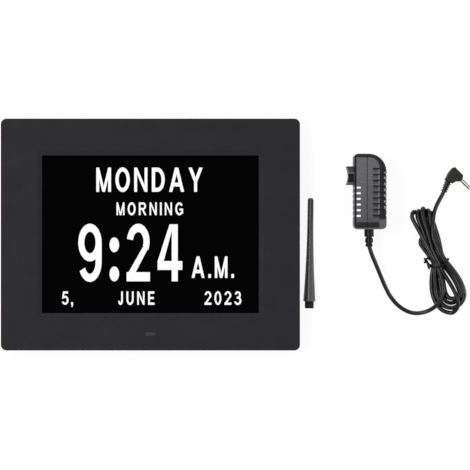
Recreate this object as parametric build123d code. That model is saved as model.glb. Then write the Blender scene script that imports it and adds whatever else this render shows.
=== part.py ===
from build123d import *
import math
import os

# A dementia day clock, laid out flat: the clock rests on its back with its screen up, and its
# screw-in stand leg and its mains adapter with a tied-up cord lie beside it.
#
# Millimetres. The origin is the middle of the flat face on the clock's back, +X is the clock's
# right-hand side, +Y is its top edge and +Z points out of the screen.

# ---------------------------------------------------------------- clearances
seat_gap = 0.05        # a screw in its pilot hole, or a pin in a moulded seat
drop_in_gap = 0.3      # a piece dropped into a pocket, or sliding in a hole
rest_lift = 0.02       # what lies loose beside the clock
cut_over = 1.0         # how far a cutter runs past what it cuts

# ---------------------------------------------------------------- the clock's casing
clock_width = 224.0
clock_height = 173.6
clock_depth = 25.0
clock_corner = 4.3
bezel_edge_radius = 1.0
face_wall = 2.6
skirt_wall = 2.2
window_side_band = 30.8      # from the casing's edge to the screen's opening
window_top_band = 27.6
window_low_band = 28.0
window_bevel_width = 3.7
window_bevel_drop = 0.6

cover_wall = 2.5
cover_edge_radius = 1.5
lip_wall = 1.5
lip_height = 2.0
hump_width = 156.0
hump_height = 112.0
hump_depth = 9.0
hump_wall = 2.2
hump_floor = 2.0
hump_corner = 9.0
hump_edge_radius = 1.4

rim_plane = hump_depth
cover_inside = rim_plane + cover_wall
face_back = clock_depth - face_wall
inner_width = clock_width - 2 * skirt_wall
inner_height = clock_height - 2 * skirt_wall
inner_corner = clock_corner - skirt_wall
lip_width = inner_width - 2 * drop_in_gap
lip_length = inner_height - 2 * drop_in_gap
cavity_width = hump_width - 2 * hump_wall
cavity_height = hump_height - 2 * hump_wall
window_width = clock_width - 2 * window_side_band
window_height = clock_height - window_top_band - window_low_band
window_rise = (window_low_band - window_top_band) / 2

# ---------------------------------------------------------------- screws
case_screw_head_radius = 2.7
case_screw_head_height = 1.5
case_screw_radius = 1.4
case_screw_length = 9.0
case_screw_inset = 10.0
case_boss_radius = 3.5
small_screw_head_radius = 1.9
small_screw_head_height = 1.2
small_screw_radius = 0.95
small_screw_length = 4.5
small_boss_radius = 2.6
screw_head_play = 0.1        # between a case screw's head and the floor of its recess's mouth
screw_end_wall = 1.0         # of the face over a case screw's pilot hole

case_screw_x = clock_width / 2 - case_screw_inset
case_screw_y = clock_height / 2 - case_screw_inset
case_screw_places = [(side * case_screw_x, row * case_screw_y) for side in (-1, 1) for row in (-1, 0, 1)]
case_screw_seat = rim_plane + case_screw_head_height + screw_head_play

# ---------------------------------------------------------------- the screen module
glass_side_margin = 6.8      # of the glass behind the casing, past the opening
glass_end_margin = 9.0
glass_thickness = 1.2
diffuser_thickness = 0.5
guide_thickness = 3.0
led_strip_height = 2.4
led_strip_margin = 14.0
led_count = 12
led_width = 3.0
led_thickness = 1.0
frame_wall = 1.2
frame_base = 0.8
ear_length = 7.0
ear_width = 9.0
ear_inset = 18.0             # from the glass's top and bottom edges
locating_rib_wall = 1.2
locating_rib_height = 4.0

glass_width = window_width + 2 * glass_side_margin
glass_height = window_height + 2 * glass_end_margin
glass_low = face_back - glass_thickness
diffuser_low = glass_low - diffuser_thickness
guide_low = diffuser_low - guide_thickness
frame_low = guide_low - frame_base
pocket_width = glass_width + 2 * drop_in_gap
pocket_height = glass_height + 2 * drop_in_gap
frame_width = pocket_width + 2 * frame_wall
frame_height = pocket_height + 2 * frame_wall
ear_x = frame_width / 2 + ear_length / 2
ear_offset = glass_height / 2 - ear_inset
ear_places = [(side * ear_x, window_rise + row * ear_offset) for side in (-1, 1) for row in (-1, 1)]

# ---------------------------------------------------------------- the main board in the hump
board_thickness = 1.6
board_height_above_floor = 6.6
board_width = 62.0
board_height = 76.0
board_left = 10.0
board_screw_inset_x = 4.0
board_screw_inset_y = 4.0
board_screw_left = 15.0

board_low = hump_floor + board_height_above_floor
board_top = board_low + board_thickness
board_x = board_left + board_width / 2
board_right = board_left + board_width
board_screw_xs = (board_left + board_screw_left, board_right - board_screw_inset_x)
board_screw_y = board_height / 2 - board_screw_inset_y
board_screw_places = [(x, row * board_screw_y) for x in board_screw_xs for row in (-1, 1)]

# ---------------------------------------------------------------- the DC inlet in the hump's side
inlet_y = -25.0
inlet_body_length = 11.0
inlet_body_width = 9.0
inlet_nose_radius = 2.6
inlet_bore_radius = 1.4
inlet_bore_depth = 9.0
inlet_pin_radius = 0.33
inlet_sunk = 0.3             # the nose's end, in from the hump's side
inlet_pin_sunk = 1.0         # the pin's end, in from the nose's end

inlet_z = (hump_floor + board_low) / 2
hump_side = hump_width / 2
cavity_side = cavity_width / 2

# ---------------------------------------------------------------- the speaker
speaker_x = -45.0
speaker_y = 10.0
speaker_radius = 14.0
speaker_wall = 1.4
speaker_depth = 4.6
speaker_plate = 0.8
magnet_radius = 6.8
magnet_height = 3.0
cone_thickness = 0.4
speaker_ring_wall = 1.2
speaker_ring_height = 2.0
grille_hole_radius = 0.9
grille_ring_step = 3.3
grille_rings = 3
speaker_window_share = 0.6   # of the magnet's radius, the opening in the frame's back
cone_lift = 0.8              # the cone's rim over the floor
cone_rim = 1.2
cone_neck_share = 0.35       # of the cone's radius
cone_back_gap = 0.8          # from the cone's neck to the frame's back
lead_start_gap = 2.0         # from the magnet to the leads' start
lead_rise_shares = (0.21, 0.46, 0.79)

# ---------------------------------------------------------------- the stand leg and its socket
leg_length = 78.2
leg_tip_radius = 2.26
leg_straight = 12.0
leg_base_radius = 4.64
stud_radius = 3.55
stud_length = 5.2
stud_pitch = 1.0
stud_thread_depth = 0.45
stud_root_radius = 2.4
stud_root_length = 6.0
leg_tip_round = 0.85         # of the tip's radius
leg_base_round = 0.5
socket_angle = 45.0          # between the leg and the clock's back
socket_y = -18.0
socket_wall = 1.75
socket_depth = 7.5
socket_end_wall = 1.0
socket_recess_gap = 1.3
socket_seat_margin = 0.36
socket_recess_wall = 1.2
socket_boss_gap = 0.5        # from the socket's boss to the screen's frame
leg_aside = 7.4              # from the clock's right-hand edge to the leg's base
leg_base_y = -50.5
leg_skew = 0.8               # degrees off the clock's edge, as it lies

socket_bore_radius = stud_radius + 0.1
socket_radius = socket_bore_radius + socket_wall
recess_radius = leg_base_radius + socket_recess_gap
socket_boss_radius = recess_radius + socket_recess_wall
socket_z = recess_radius * math.sin(math.radians(socket_angle)) + socket_seat_margin
socket_lean = math.radians(socket_angle)
socket_out = Vector(0, -math.sin(socket_lean), -math.cos(socket_lean))

# ---------------------------------------------------------------- the wall keyholes
keyhole_spacing = 100.0
keyhole_inset = 13.0         # from the hump's top edge
keyhole_radius = 4.3
keyhole_slot_width = 4.2
keyhole_slot_length = 7.0

keyhole_y = hump_height / 2 - keyhole_inset

# ---------------------------------------------------------------- the seven buttons on the back
button_names = ("power", "menu", "left", "ok", "right", "up", "down")
button_pitch = 13.0
button_radius = 3.5
button_inset = 11.3          # from the clock's top edge
button_proud = 0.8
button_flange_radius = 4.6
button_edge_radius = 0.5
button_flange_height = 0.8
button_stem_radius = 1.5
button_stem_length = 0.5
button_travel = 0.4
switch_width = 6.0
switch_height = 2.0
switch_plunger_radius = 1.7
switch_plunger_height = 0.5
switch_corner = 0.4
switch_gap = 0.1             # from a pressed button's stem to its switch
button_board_width = 100.0
button_board_height = 10.4
button_board_thickness = 1.2
button_post_inset = 3.0

button_y = clock_height / 2 - button_inset
button_xs = [(i - (len(button_names) - 1) / 2) * button_pitch for i in range(len(button_names))]
button_flange_low = cover_inside + drop_in_gap
button_stem_top = button_flange_low + button_flange_height + button_stem_length
switch_tip = button_stem_top + button_travel + switch_gap
button_board_low = switch_tip + switch_plunger_height + switch_height
button_board_top = button_board_low + button_board_thickness
button_post_x = button_board_width / 2 - button_post_inset
button_post_places = [(-button_post_x, button_y), (button_post_x, button_y)]

# ---------------------------------------------------------------- the remote-control eye
eye_width = 8.2
eye_height = 2.9
eye_inset = 12.4             # from the clock's bottom edge
eye_sunk = 0.25
eye_flange = 1.0
eye_flange_height = 0.8
receiver_width = 5.0
receiver_height = 4.0
receiver_depth = 3.4
eye_board_width = 34.0
eye_board_height = 9.0
eye_board_thickness = 1.2
eye_board_x = 5.0
eye_board_drop = 1.2
eye_screw_inset = 3.0
receiver_dome = 1.0          # of the receiver's depth, and its step in from the body
receiver_gap = 0.3           # from the receiver's dome to the window's flange

eye_y = -clock_height / 2 + eye_inset
eye_board_y = eye_y - eye_board_drop
eye_board_top = face_back - eye_flange_height - receiver_depth - receiver_gap
eye_board_low = eye_board_top - eye_board_thickness
eye_screw_places = [
    (eye_board_x + side * (eye_board_width / 2 - eye_screw_inset), eye_board_y) for side in (-1, 1)
]

# ---------------------------------------------------------------- the mains adapter
adapter_aside = 40.2         # from the clock's right-hand edge
adapter_bottom = 3.9
adapter_depth = 24.1         # out from the wall socket
adapter_height = 56.4
adapter_width = 38.0
adapter_wall = 2.0
adapter_edge_radius = 2.4
adapter_shoulder_radius = 13.5
adapter_top_corner = 3.0
adapter_low_corner = 3.4
parting_depth = 9.6          # from the nose side to the seam between the two shells
seam_chamfer = 0.3
tongue_wall = 1.0
tongue_length = 1.5
slot_count = 6
slot_pitch = 4.22
slot_width = 3.0
slot_height = 1.5
slot_inset = 1.8             # from the nose side
slot_back_width = 4.5        # the openings of the other broad side are larger
slot_back_height = 2.4
slot_first = 10.0            # from the adapter's lower end
rib_count = 9
rib_pitch = 4.36
groove_height = 1.0
groove_depth = 0.9           # in the broad sides
groove_side_depth = 0.4      # in the outer side
groove_reach = 10.2          # from the outer side
groove_first = 10.4          # from the adapter's lower end
scallop_depth = 0.4

adapter_left = clock_width / 2 + adapter_aside
adapter_right = adapter_left + adapter_depth
adapter_top = adapter_bottom + adapter_height
adapter_x = (adapter_left + adapter_right) / 2
adapter_y = (adapter_bottom + adapter_top) / 2
adapter_z = adapter_width / 2
parting_x = adapter_left + parting_depth
slot_ys = [adapter_bottom + slot_first + i * slot_pitch for i in range(slot_count)]
groove_ys = [adapter_bottom + groove_first + i * rib_pitch for i in range(rib_count)]

nose_length = 5.5
nose_height = 13.6
nose_width = 35.3
nose_drop = 16.2             # from the adapter's top to the nose's middle
nose_flange = 0.6
nose_flange_thickness = 1.2
nose_hollow = 1.5
contact_spacing = 19.0
contact_radius = 2.0
contact_sunk = 1.0
clip_depth = 5.0
clip_gap = 0.4               # from a clip slot to the casing
# the nose's section, as shares of its height
nose_side_top = 0.1
nose_side_low = -0.38
nose_top_slant = 0.37
nose_low_slant = 0.12

nose_y = adapter_top - nose_drop
nose_end = adapter_left - nose_length

adapter_board_depth = 6.2    # from the nose side
adapter_board_thickness = 1.6
adapter_post_radius = 2.0
adapter_post_inset = 5.5
adapter_post_side_inset = 7.5
adapter_board_low = adapter_left + adapter_board_depth
adapter_board_top = adapter_board_low + adapter_board_thickness

# ---------------------------------------------------------------- the strain relief and the cord
relief_x_from_seam = 2.1
relief_radius = 3.6
relief_middle_radius = 3.0
relief_end_radius = 2.75
relief_groove_radius = 2.3
relief_length = 13.0
relief_groove = 0.9
relief_flange_radius = 4.4
relief_flange_thickness = 1.2
relief_neck_radius = 2.6
relief_rib_shares = (0.5, 0.32, 0.18)
relief_rib_round = 0.5
cord_radius = 1.6
cord_overlap = 0.8           # of the cord into what holds its end

relief_x = parting_x + relief_x_from_seam
relief_end_y = adapter_bottom - relief_length

# ---------------------------------------------------------------- what the main board carries
cell_radius = 10.0
cell_height = 3.2
cell_x_from_right = 17.0
cell_y = 12.0
cell_wall = 1.4
cell_base = 0.6
holder_height = 2.24
processor_width = 14.0
processor_height = 1.2
processor_x_from_left = 25.0
processor_y = 8.0
memory_width = 8.0
memory_length = 10.0
memory_height = 1.4
memory_y = -12.0
capacitor_radius = 2.5
capacitor_height = 5.2
capacitor_pitch = 7.0
capacitor_count = 3
capacitor_y = -14.0
flex_width = 20.0
flex_thickness = 0.3
flex_socket_play = 2.0
flex_x_from_left = 30.0
connector_depth = 5.0
connector_height = 2.2
ribbon_width = 4.6
ribbon_thickness = 0.6
button_ribbon_x = 1.5 * button_pitch
sensor_ribbon_x_from_left = 3.2
wire_radius = 0.55
wire_pitch = 1.3
flex_end_inset = 6.0
ribbon_end_inset = 2.0
speaker_socket_inset = 0.5
cable_tail = 3.0             # of a flat cable, level with its socket
ribbon_tail = 4.0
ribbon_ramp_play = 2.0
flex_tab = 6.0               # of the flat cable, under the screen's frame

flex_x = board_left + flex_x_from_left
sensor_ribbon_x = board_left + sensor_ribbon_x_from_left
processor_x = board_left + processor_x_from_left
cell_x = board_right - cell_x_from_right
flex_end_y = -board_height / 2 + flex_end_inset
ribbon_end_y = -board_height / 2 + ribbon_end_inset
speaker_socket_x = board_left + speaker_socket_inset
speaker_socket_y = 26.0
cable_z = board_top + connector_height / 2
ramp = 12.0                  # along Y, from the level of a cable's far end down to its socket

# ---------------------------------------------------------------- vents under the main board
vent_count = 6
vent_pitch = 6.0
vent_width = 1.8
vent_length = 26.0
vent_x_from_left = 22.0

# ---------------------------------------------------------------- the adapter's board
adapter_post_places = [
    (y, z)
    for y in (adapter_bottom + adapter_post_inset, adapter_top - adapter_post_inset)
    for z in (adapter_post_side_inset, adapter_width - adapter_post_side_inset)
]
# what stands on the adapter's board, each placed by (up from the middle, across from the middle)
core_size = (20.0, 12.0)
core_depth = 12.0
core_yoke = 2.4
core_leg = 5.0
coil_size = (12.4, 15.0)
coil_play = 0.2
coil_corner = 2.0
transformer_drop = 1.0
bulk_radius = 4.5
bulk_length = 12.0
bulk_place = (16.0, -9.0)
output_radius = 3.5
output_length = 11.0
output_place = (-18.5, 9.0)

# ---------------------------------------------------------------- the hank of cord and its tie
hank_at = (52.8, -11.6)      # the waist, from the end of the relief
hank_height = 9.6
hank_edge_radius = 1.6
hank_outline = [
    (-18.6, 38.4), (-11.4, 41.4), (-5.2, 37.4), (-1.0, 26.2), (2.2, 11.7), (6.4, 2.0), (13.3, -5.6),
    (19.0, -14.4), (21.2, -22.7), (19.4, -31.4), (12.4, -38.9), (6.7, -39.8), (1.0, -36.3),
    (-4.2, -28.8), (-6.4, -17.5), (-6.3, -7.0), (-7.2, 1.5), (-11.3, 9.0), (-15.2, 18.1),
    (-19.2, 27.0), (-21.0, 34.1),
]
hank_eye_middle = (7.6, -20.4)
hank_eye_length = 9.0
hank_eye_width = 4.4
hank_eye_turn = 112.0
tie_turn = 20.0
tie_span = 16.0
tie_width = 1.5
tie_wall = 0.9
tie_twist_length = 5.0
tie_twist_radius = 0.9
tie_twist_turns = (150.0, 205.0)
tie_twist_inset = 0.6
tie_twist_rise = 0.55        # of the hank's height

# ---------------------------------------------------------------- the cord's route, hand laid
# Each point is (right of the relief, up from the relief's end, height over the table).
lead_points = [
    (1.3, -4.4, 18.5),
    (4.5, -12.3, 15.6),
    (8.3, -21.2, 11.4),
    (12.3, -30.3, 6.8),
    (17.5, -38.7, 3.2),
    (24.8, -45.7, 1.8),
    (33.0, -49.6, 1.7),
    (41.6, -49.5, 2.3),
    (48.3, -46.3, 3.6),
    (52.2, -42.4, 5.2),
]
tail_points = [
    (49.0, 20.4, 6.4),
    (49.7, 25.2, 5.9),
    (51.3, 30.0, 5.1),
    (53.6, 34.8, 4.2),
    (55.7, 38.6, 3.6),
]
plug_at = (57.2, 41.6)
plug_z = 3.5
plug_heading = 67.2          # degrees from +X towards +Y, along the plug's neck
neck_radius = 2.3            # at the cord's end
neck_root_radius = 2.95      # at the plug's body
neck_length = 8.8
neck_ring_count = 4
neck_ring_depth = 0.7
neck_ring_width = 1.05
barrel_turn = -111.2         # degrees from the neck to the barrel
barrel_start = (8.76, 12.93)
barrel_face_width = 2.9      # of the flat face that the barrel stands on
barrel_radius = 1.25
barrel_wall = 0.35
barrel_length = 9.5
barrel_root_radius = 0.95
barrel_root_length = 3.0
barrel_floor = 0.5
tip_ring_length = 1.1
contact_outer_radius = 0.55
contact_bore_radius = 0.35
contact_sunk_in = 0.6        # from the barrel's end
contact_bore_floor = 0.5     # from the barrel's floor
# the plug's outline in its neck's frame, up its left side and over to the barrel's face, then back
plug_outline_up = [(-3.1, 8.2), (-2.7, 14.2), (-1.4, 18.6), (0.4, 20.2), (8.5, 16.9)]
plug_outline_back = [(5.25, 10.4), (3.7, 8.1)]
plug_edge_radius = 1.2
plug_neck_overlap = 1.0
neck_first_ring = 0.8        # in ring pitches, from the neck's end


exit_point = Vector(relief_x, relief_end_y, adapter_z)


def from_exit(point):
    """A hand-laid point of the cord in the model's own frame; its height is over the table."""
    return Vector(relief_x + point[0], relief_end_y + point[1], point[2])


# ================================================================ shared shapes
def slab(width, height, low, high, corner=0.0, x=0.0, y=0.0):
    """A flat block between two heights, its four upright edges rounded if asked."""
    outline = RectangleRounded(width, height, corner) if corner else Rectangle(width, height)
    return Pos(x, y, low) * extrude(outline, high - low)


def post(radius, low, high, x=0.0, y=0.0):
    """An upright cylinder between two heights."""
    return Pos(x, y, low) * Cylinder(radius, high - low, align=(Align.CENTER, Align.CENTER, Align.MIN))


def box(x_span, y_span, z_span):
    """A block from its low and high corner along each axis."""
    size = [span[1] - span[0] for span in (x_span, y_span, z_span)]
    middle = [(span[1] + span[0]) / 2 for span in (x_span, y_span, z_span)]
    return Pos(*middle) * Box(*size)


def pill(width, height, low, high, x=0.0, y=0.0):
    """A slab with fully round ends."""
    return Pos(x, y, low) * extrude(SlotOverall(width, height), high - low)


def screw(head_radius, head_height, radius, length):
    """A pan-head screw: its head below Z = 0, its shank above, a cross cut in the head."""
    head = post(head_radius, -head_height, 0)
    head = chamfer(head.edges().group_by(Axis.Z)[0], head_height * 0.3)
    cut = head_radius * 0.25
    cross = Box(head_radius, cut, head_height) + Box(cut, head_radius, head_height)
    tip = chamfer(post(radius, 0, length).edges().group_by(Axis.Z)[-1], radius * 0.4)
    return head + tip - Pos(0, 0, -head_height) * cross


def group(pieces):
    """Separate solids that share one node."""
    return Compound(children=list(pieces))


def ribbon(width, thickness, x, points):
    """A flat cable along a path of (y, z) points, with rounded bends."""
    path = FilletPolyline(*[Vector(x, y, z) for y, z in points], radius=2.0)
    start = Plane(origin=path @ 0, x_dir=(1, 0, 0), z_dir=path % 0)
    return sweep(start * Rectangle(width, thickness), path=path)


def corner_radii(points):
    """At each corner of a cord's route, the largest arc that its two runs leave room for."""
    radii = []
    for before, corner, after in zip(points, points[1:], points[2:]):
        turn = math.radians((corner - before).get_angle(after - corner))
        run = min((corner - before).length, (after - corner).length)
        radii.append(0.45 * run / math.tan(turn / 2))
    return radii


def cord_tube(name, radius, points):
    """A cord along straight runs joined by tangent arcs."""
    radii = corner_radii(points)
    path = FilletPolyline(*points, radius=radii)
    tube = sweep(Plane(origin=path @ 0, z_dir=path % 0) * Circle(radius), path=path)
    expected = math.pi * radius**2 * path.length
    print(name, "length", round(path.length, 1), "smallest arc", round(min(radii), 1),
          "volume / section x length", round(tube.volume / expected, 4))
    return tube


pieces = {}


# ================================================================ the casing's front
def window_cut():
    """The screen's opening, with a shallow slope round its front edge."""
    slope_low = clock_depth - window_bevel_drop
    hole = slab(window_width, window_height, cover_inside, clock_depth + cut_over, y=window_rise)
    inner = Pos(0, window_rise, slope_low) * Rectangle(window_width, window_height)
    grown_width = window_width + 2 * window_bevel_width
    grown_height = window_height + 2 * window_bevel_width
    outer = Pos(0, window_rise, clock_depth) * Rectangle(grown_width, grown_height)
    return hole + loft([inner.face(), outer.face()])


def make_front_bezel():
    shell = slab(clock_width, clock_height, cover_inside, clock_depth, clock_corner)
    shell = fillet(shell.edges().group_by(Axis.Z)[-1], bezel_edge_radius)
    shell -= slab(inner_width, inner_height, cover_inside, face_back, inner_corner)
    # ribs that hold the screen module in place
    rib_width = frame_width + 2 * drop_in_gap
    rib_height = frame_height + 2 * drop_in_gap
    rib_low = face_back - locating_rib_height
    rib = slab(rib_width + 2 * locating_rib_wall, rib_height + 2 * locating_rib_wall,
               rib_low, face_back, y=window_rise)
    rib -= slab(rib_width, rib_height, rib_low, face_back, y=window_rise)
    shell += rib
    for x, y in case_screw_places:
        shell += post(case_boss_radius, cover_inside, face_back, x, y)
        shell -= post(case_screw_radius + seat_gap, cover_inside, face_back - screw_end_wall, x, y)
    for x, y in ear_places:
        shell += post(small_boss_radius, frame_low + frame_base, face_back, x, y)
        shell -= post(small_screw_radius + seat_gap, frame_low + frame_base, face_back, x, y)
    for x, y in eye_screw_places:
        shell += post(small_boss_radius, eye_board_top, face_back, x, y)
        shell -= post(small_screw_radius + seat_gap, eye_board_top, face_back, x, y)
    shell -= window_cut()
    hole_width = eye_width + 2 * seat_gap
    hole_height = eye_height + 2 * seat_gap
    shell -= pill(hole_width, hole_height, face_back - cut_over, clock_depth + cut_over, y=eye_y)
    return shell


# ================================================================ the remote-control eye
def make_eye():
    window = pill(eye_width, eye_height, face_back - eye_flange_height, clock_depth - eye_sunk, y=eye_y)
    flange = pill(eye_width + 2 * eye_flange, eye_height + 2 * eye_flange,
                  face_back - eye_flange_height, face_back, y=eye_y)
    pieces["sensor_window"] = window + flange
    board = slab(eye_board_width, eye_board_height, eye_board_low, eye_board_top,
                 x=eye_board_x, y=eye_board_y)
    for x, y in eye_screw_places:
        board -= post(small_screw_radius + seat_gap, eye_board_low, eye_board_top, x, y)
    pieces["sensor_board"] = board
    receiver_top = eye_board_top + receiver_depth
    body = slab(receiver_width, receiver_height, eye_board_top, receiver_top - receiver_dome, y=eye_y)
    dome = slab(receiver_width - receiver_dome, receiver_height - receiver_dome, eye_board_top,
                receiver_top, y=eye_y)
    pieces["ir_receiver"] = body + fillet(dome.edges().group_by(Axis.Z)[-1], receiver_dome * 0.8)


# ================================================================ the screen module
def make_screen_module():
    pieces["lcd_glass"] = slab(glass_width, glass_height, glass_low, face_back, y=window_rise)
    guide_height = glass_height - led_strip_height - drop_in_gap
    guide_y = window_rise + (glass_height - guide_height) / 2
    pieces["diffuser_sheet"] = slab(glass_width, glass_height, diffuser_low, glass_low, y=window_rise)
    pieces["light_guide"] = slab(glass_width, guide_height, guide_low, diffuser_low, y=guide_y)
    strip_low_y = window_rise - glass_height / 2
    strip_length = glass_width - 2 * led_strip_margin
    strip_back = led_strip_height - led_thickness
    strip = box((-strip_length / 2, strip_length / 2), (strip_low_y, strip_low_y + strip_back),
                (guide_low, diffuser_low - drop_in_gap))
    pitch = strip_length / led_count
    for i in range(led_count):
        x = (i - (led_count - 1) / 2) * pitch
        strip += box((x - led_width / 2, x + led_width / 2),
                     (strip_low_y + strip_back, strip_low_y + led_strip_height),
                     (guide_low, diffuser_low - drop_in_gap))
    pieces["led_strip"] = strip
    frame = slab(frame_width, frame_height, frame_low, face_back, y=window_rise)
    frame -= slab(pocket_width, pocket_height, guide_low, face_back, y=window_rise)
    for x, y in ear_places:
        # each ear reaches a little way into the frame
        ear_middle = x - math.copysign(seat_gap, x)
        frame += slab(ear_length + 2 * seat_gap, ear_width, frame_low, guide_low, x=ear_middle, y=y)
        frame -= post(small_screw_radius + seat_gap, frame_low, guide_low, x, y)
    pieces["lcd_frame"] = frame


# ================================================================ the boards and what they carry
def socket(x, width, y, length):
    """A cable socket on the main board."""
    return slab(width, length, board_top, board_top + connector_height, x=x, y=y)


def make_main_board():
    board = slab(board_width, board_height, board_low, board_top, x=board_x)
    for x, y in board_screw_places:
        board -= post(small_screw_radius + seat_gap, board_low, board_top, x, y)
    pieces["main_board"] = board
    pieces["processor_chip"] = slab(processor_width, processor_width, board_top,
                                    board_top + processor_height, x=processor_x, y=processor_y)
    pieces["memory_chip"] = slab(memory_width, memory_length, board_top,
                                 board_top + memory_height, x=processor_x, y=memory_y)
    capacitor_top = board_top + capacitor_height
    capacitor_xs = [cell_x + (i - 1) * capacitor_pitch for i in range(capacitor_count)]
    pieces["board_capacitors"] = group(
        post(capacitor_radius, board_top, capacitor_top, x, capacitor_y) for x in capacitor_xs)
    # coin cell in an open ring holder
    cell_low = board_top + cell_base
    cell_top = cell_low + cell_height
    pieces["coin_cell"] = post(cell_radius, cell_low, cell_top, cell_x, cell_y)
    holder = post(cell_radius + cell_wall, board_top, cell_low + holder_height, cell_x, cell_y)
    holder -= post(cell_radius + seat_gap, cell_low, cell_top, cell_x, cell_y)
    gap_length = 2 * (cell_radius + cell_wall + cut_over)
    holder -= slab(cell_radius, gap_length, cell_low, cell_top, x=cell_x, y=cell_y)
    pieces["coin_cell_holder"] = holder
    # sockets for the flat cable, the two ribbons and the speaker's leads
    sockets = [
        socket(flex_x, flex_width + flex_socket_play, flex_end_y + connector_depth / 2, connector_depth),
        socket(sensor_ribbon_x, ribbon_width, ribbon_end_y + connector_depth / 2, connector_depth),
        socket(button_ribbon_x, ribbon_width, -ribbon_end_y - connector_depth / 2, connector_depth),
        socket(speaker_socket_x + connector_depth / 2, connector_depth, speaker_socket_y, connector_depth),
    ]
    pieces["board_connectors"] = group(sockets)


def make_cables():
    flex_z = frame_low - flex_thickness / 2
    far = -(frame_height / 2 - flex_tab)
    bend = flex_end_y - cable_tail
    pieces["lcd_flex"] = ribbon(flex_width, flex_thickness, flex_x, [
        (far, flex_z), (bend - ramp, flex_z), (bend, cable_z), (flex_end_y, cable_z)])
    sensor_z = eye_board_low - ribbon_thickness / 2
    low_bend = ribbon_end_y - ribbon_tail
    high_bend = low_bend - ribbon_ramp_play - ramp
    pieces["sensor_ribbon"] = ribbon(ribbon_width - 1, ribbon_thickness, sensor_ribbon_x, [
        (eye_board_y, sensor_z), (high_bend, sensor_z), (low_bend, cable_z), (ribbon_end_y, cable_z)])
    button_z = button_board_low - ribbon_thickness / 2
    pieces["button_ribbon"] = ribbon(ribbon_width - 1, ribbon_thickness, button_ribbon_x, [
        (button_y, button_z), (-high_bend, button_z), (-low_bend, cable_z), (-ribbon_end_y, cable_z)])
    wires = []
    plate_top = hump_floor + speaker_depth + wire_radius
    for side in (-1, 1):
        y = speaker_y + side * wire_pitch / 2
        end_y = speaker_socket_y + side * wire_pitch / 2
        start = speaker_x + magnet_radius + lead_start_gap
        run = speaker_socket_x - start
        xs = [start + run * share for share in lead_rise_shares]
        points = [
            Vector(start, y, plate_top),
            Vector(xs[0], y, plate_top),
            Vector(xs[1], (y + end_y) / 2 + 1, (plate_top + cable_z) / 2),
            Vector(xs[2], end_y, cable_z),
            Vector(speaker_socket_x, end_y, cable_z),
        ]
        wires.append(cord_tube("speaker lead", wire_radius, points))
    pieces["speaker_leads"] = group(wires)


def make_dc_inlet():
    """A low-voltage inlet under the board: its nose fills a hole in the hump's side wall."""
    body = box((cavity_side - inlet_body_length, cavity_side), (inlet_y - inlet_body_width / 2,
               inlet_y + inlet_body_width / 2), (hump_floor, board_low))
    along = Location((0, inlet_y, inlet_z), (0, 90, 0))
    mouth = hump_side - inlet_sunk
    pin_end = mouth - inlet_pin_sunk
    nose = along * post(inlet_nose_radius, cavity_side - cut_over, mouth)
    bore = along * post(inlet_bore_radius, mouth - inlet_bore_depth, hump_side)
    pin = along * post(inlet_pin_radius, pin_end - inlet_bore_depth, pin_end)
    pieces["dc_jack"] = body + nose - bore + pin


def make_speaker():
    floor = hump_floor
    back = floor + speaker_depth
    frame = post(speaker_radius, floor, back, speaker_x, speaker_y)
    frame -= post(speaker_radius - speaker_wall, floor, back - speaker_plate, speaker_x, speaker_y)
    frame -= post(magnet_radius * speaker_window_share, floor, back, speaker_x, speaker_y)
    pieces["speaker_frame"] = frame
    pieces["speaker_magnet"] = post(magnet_radius, back, back + magnet_height, speaker_x, speaker_y)
    rim = speaker_radius - speaker_wall
    low = floor + cone_lift
    neck = rim * cone_neck_share
    rise = speaker_depth - speaker_plate - cone_lift - cone_back_gap
    bend = rim - cone_rim
    profile = Polyline((neck, low + rise), (bend, low), (rim, low), (rim, low + cone_thickness),
                       (bend + 0.1, low + cone_thickness), (neck, low + rise + cone_thickness), close=True)
    cap = Polyline((0, low + rise), (neck, low + rise), (neck, low + rise + cone_thickness),
                   (0, low + rise + cone_thickness), close=True)
    section = Plane.XZ * make_face(profile.edges()) + Plane.XZ * make_face(cap.edges())
    pieces["speaker_cone"] = Pos(speaker_x, speaker_y, 0) * revolve(section, Axis.Z)


# ================================================================ the buttons on the back
def make_buttons():
    flange_top = button_flange_low + button_flange_height
    for name, x in zip(button_names, button_xs):
        cap = post(button_radius, rim_plane - button_proud, flange_top, x, button_y)
        cap = fillet(cap.edges().group_by(Axis.Z)[0], button_edge_radius)
        cap += post(button_flange_radius, button_flange_low, flange_top, x, button_y)
        cap += post(button_stem_radius, button_flange_low, button_stem_top, x, button_y)
        pieces["button_" + name] = cap
    switches = []
    for x in button_xs:
        body_low = switch_tip + switch_plunger_height
        body = slab(switch_width, switch_width, body_low, button_board_low, switch_corner, x, button_y)
        switches.append(body + post(switch_plunger_radius, switch_tip, button_board_low, x, button_y))
    pieces["tact_switches"] = group(switches)
    board = slab(button_board_width, button_board_height, button_board_low, button_board_top, y=button_y)
    for x, y in button_post_places:
        board -= post(small_screw_radius + seat_gap, button_board_low, button_board_top, x, y)
    pieces["button_board"] = board


# ================================================================ the casing's back
def socket_place(distance=0.0):
    """The leg socket's mouth, or a place along its axis: its own +Z points out of the clock."""
    origin = Vector(0, socket_y, socket_z) + socket_out * distance
    return Plane(origin=origin, x_dir=(1, 0, 0), z_dir=socket_out).location


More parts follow.
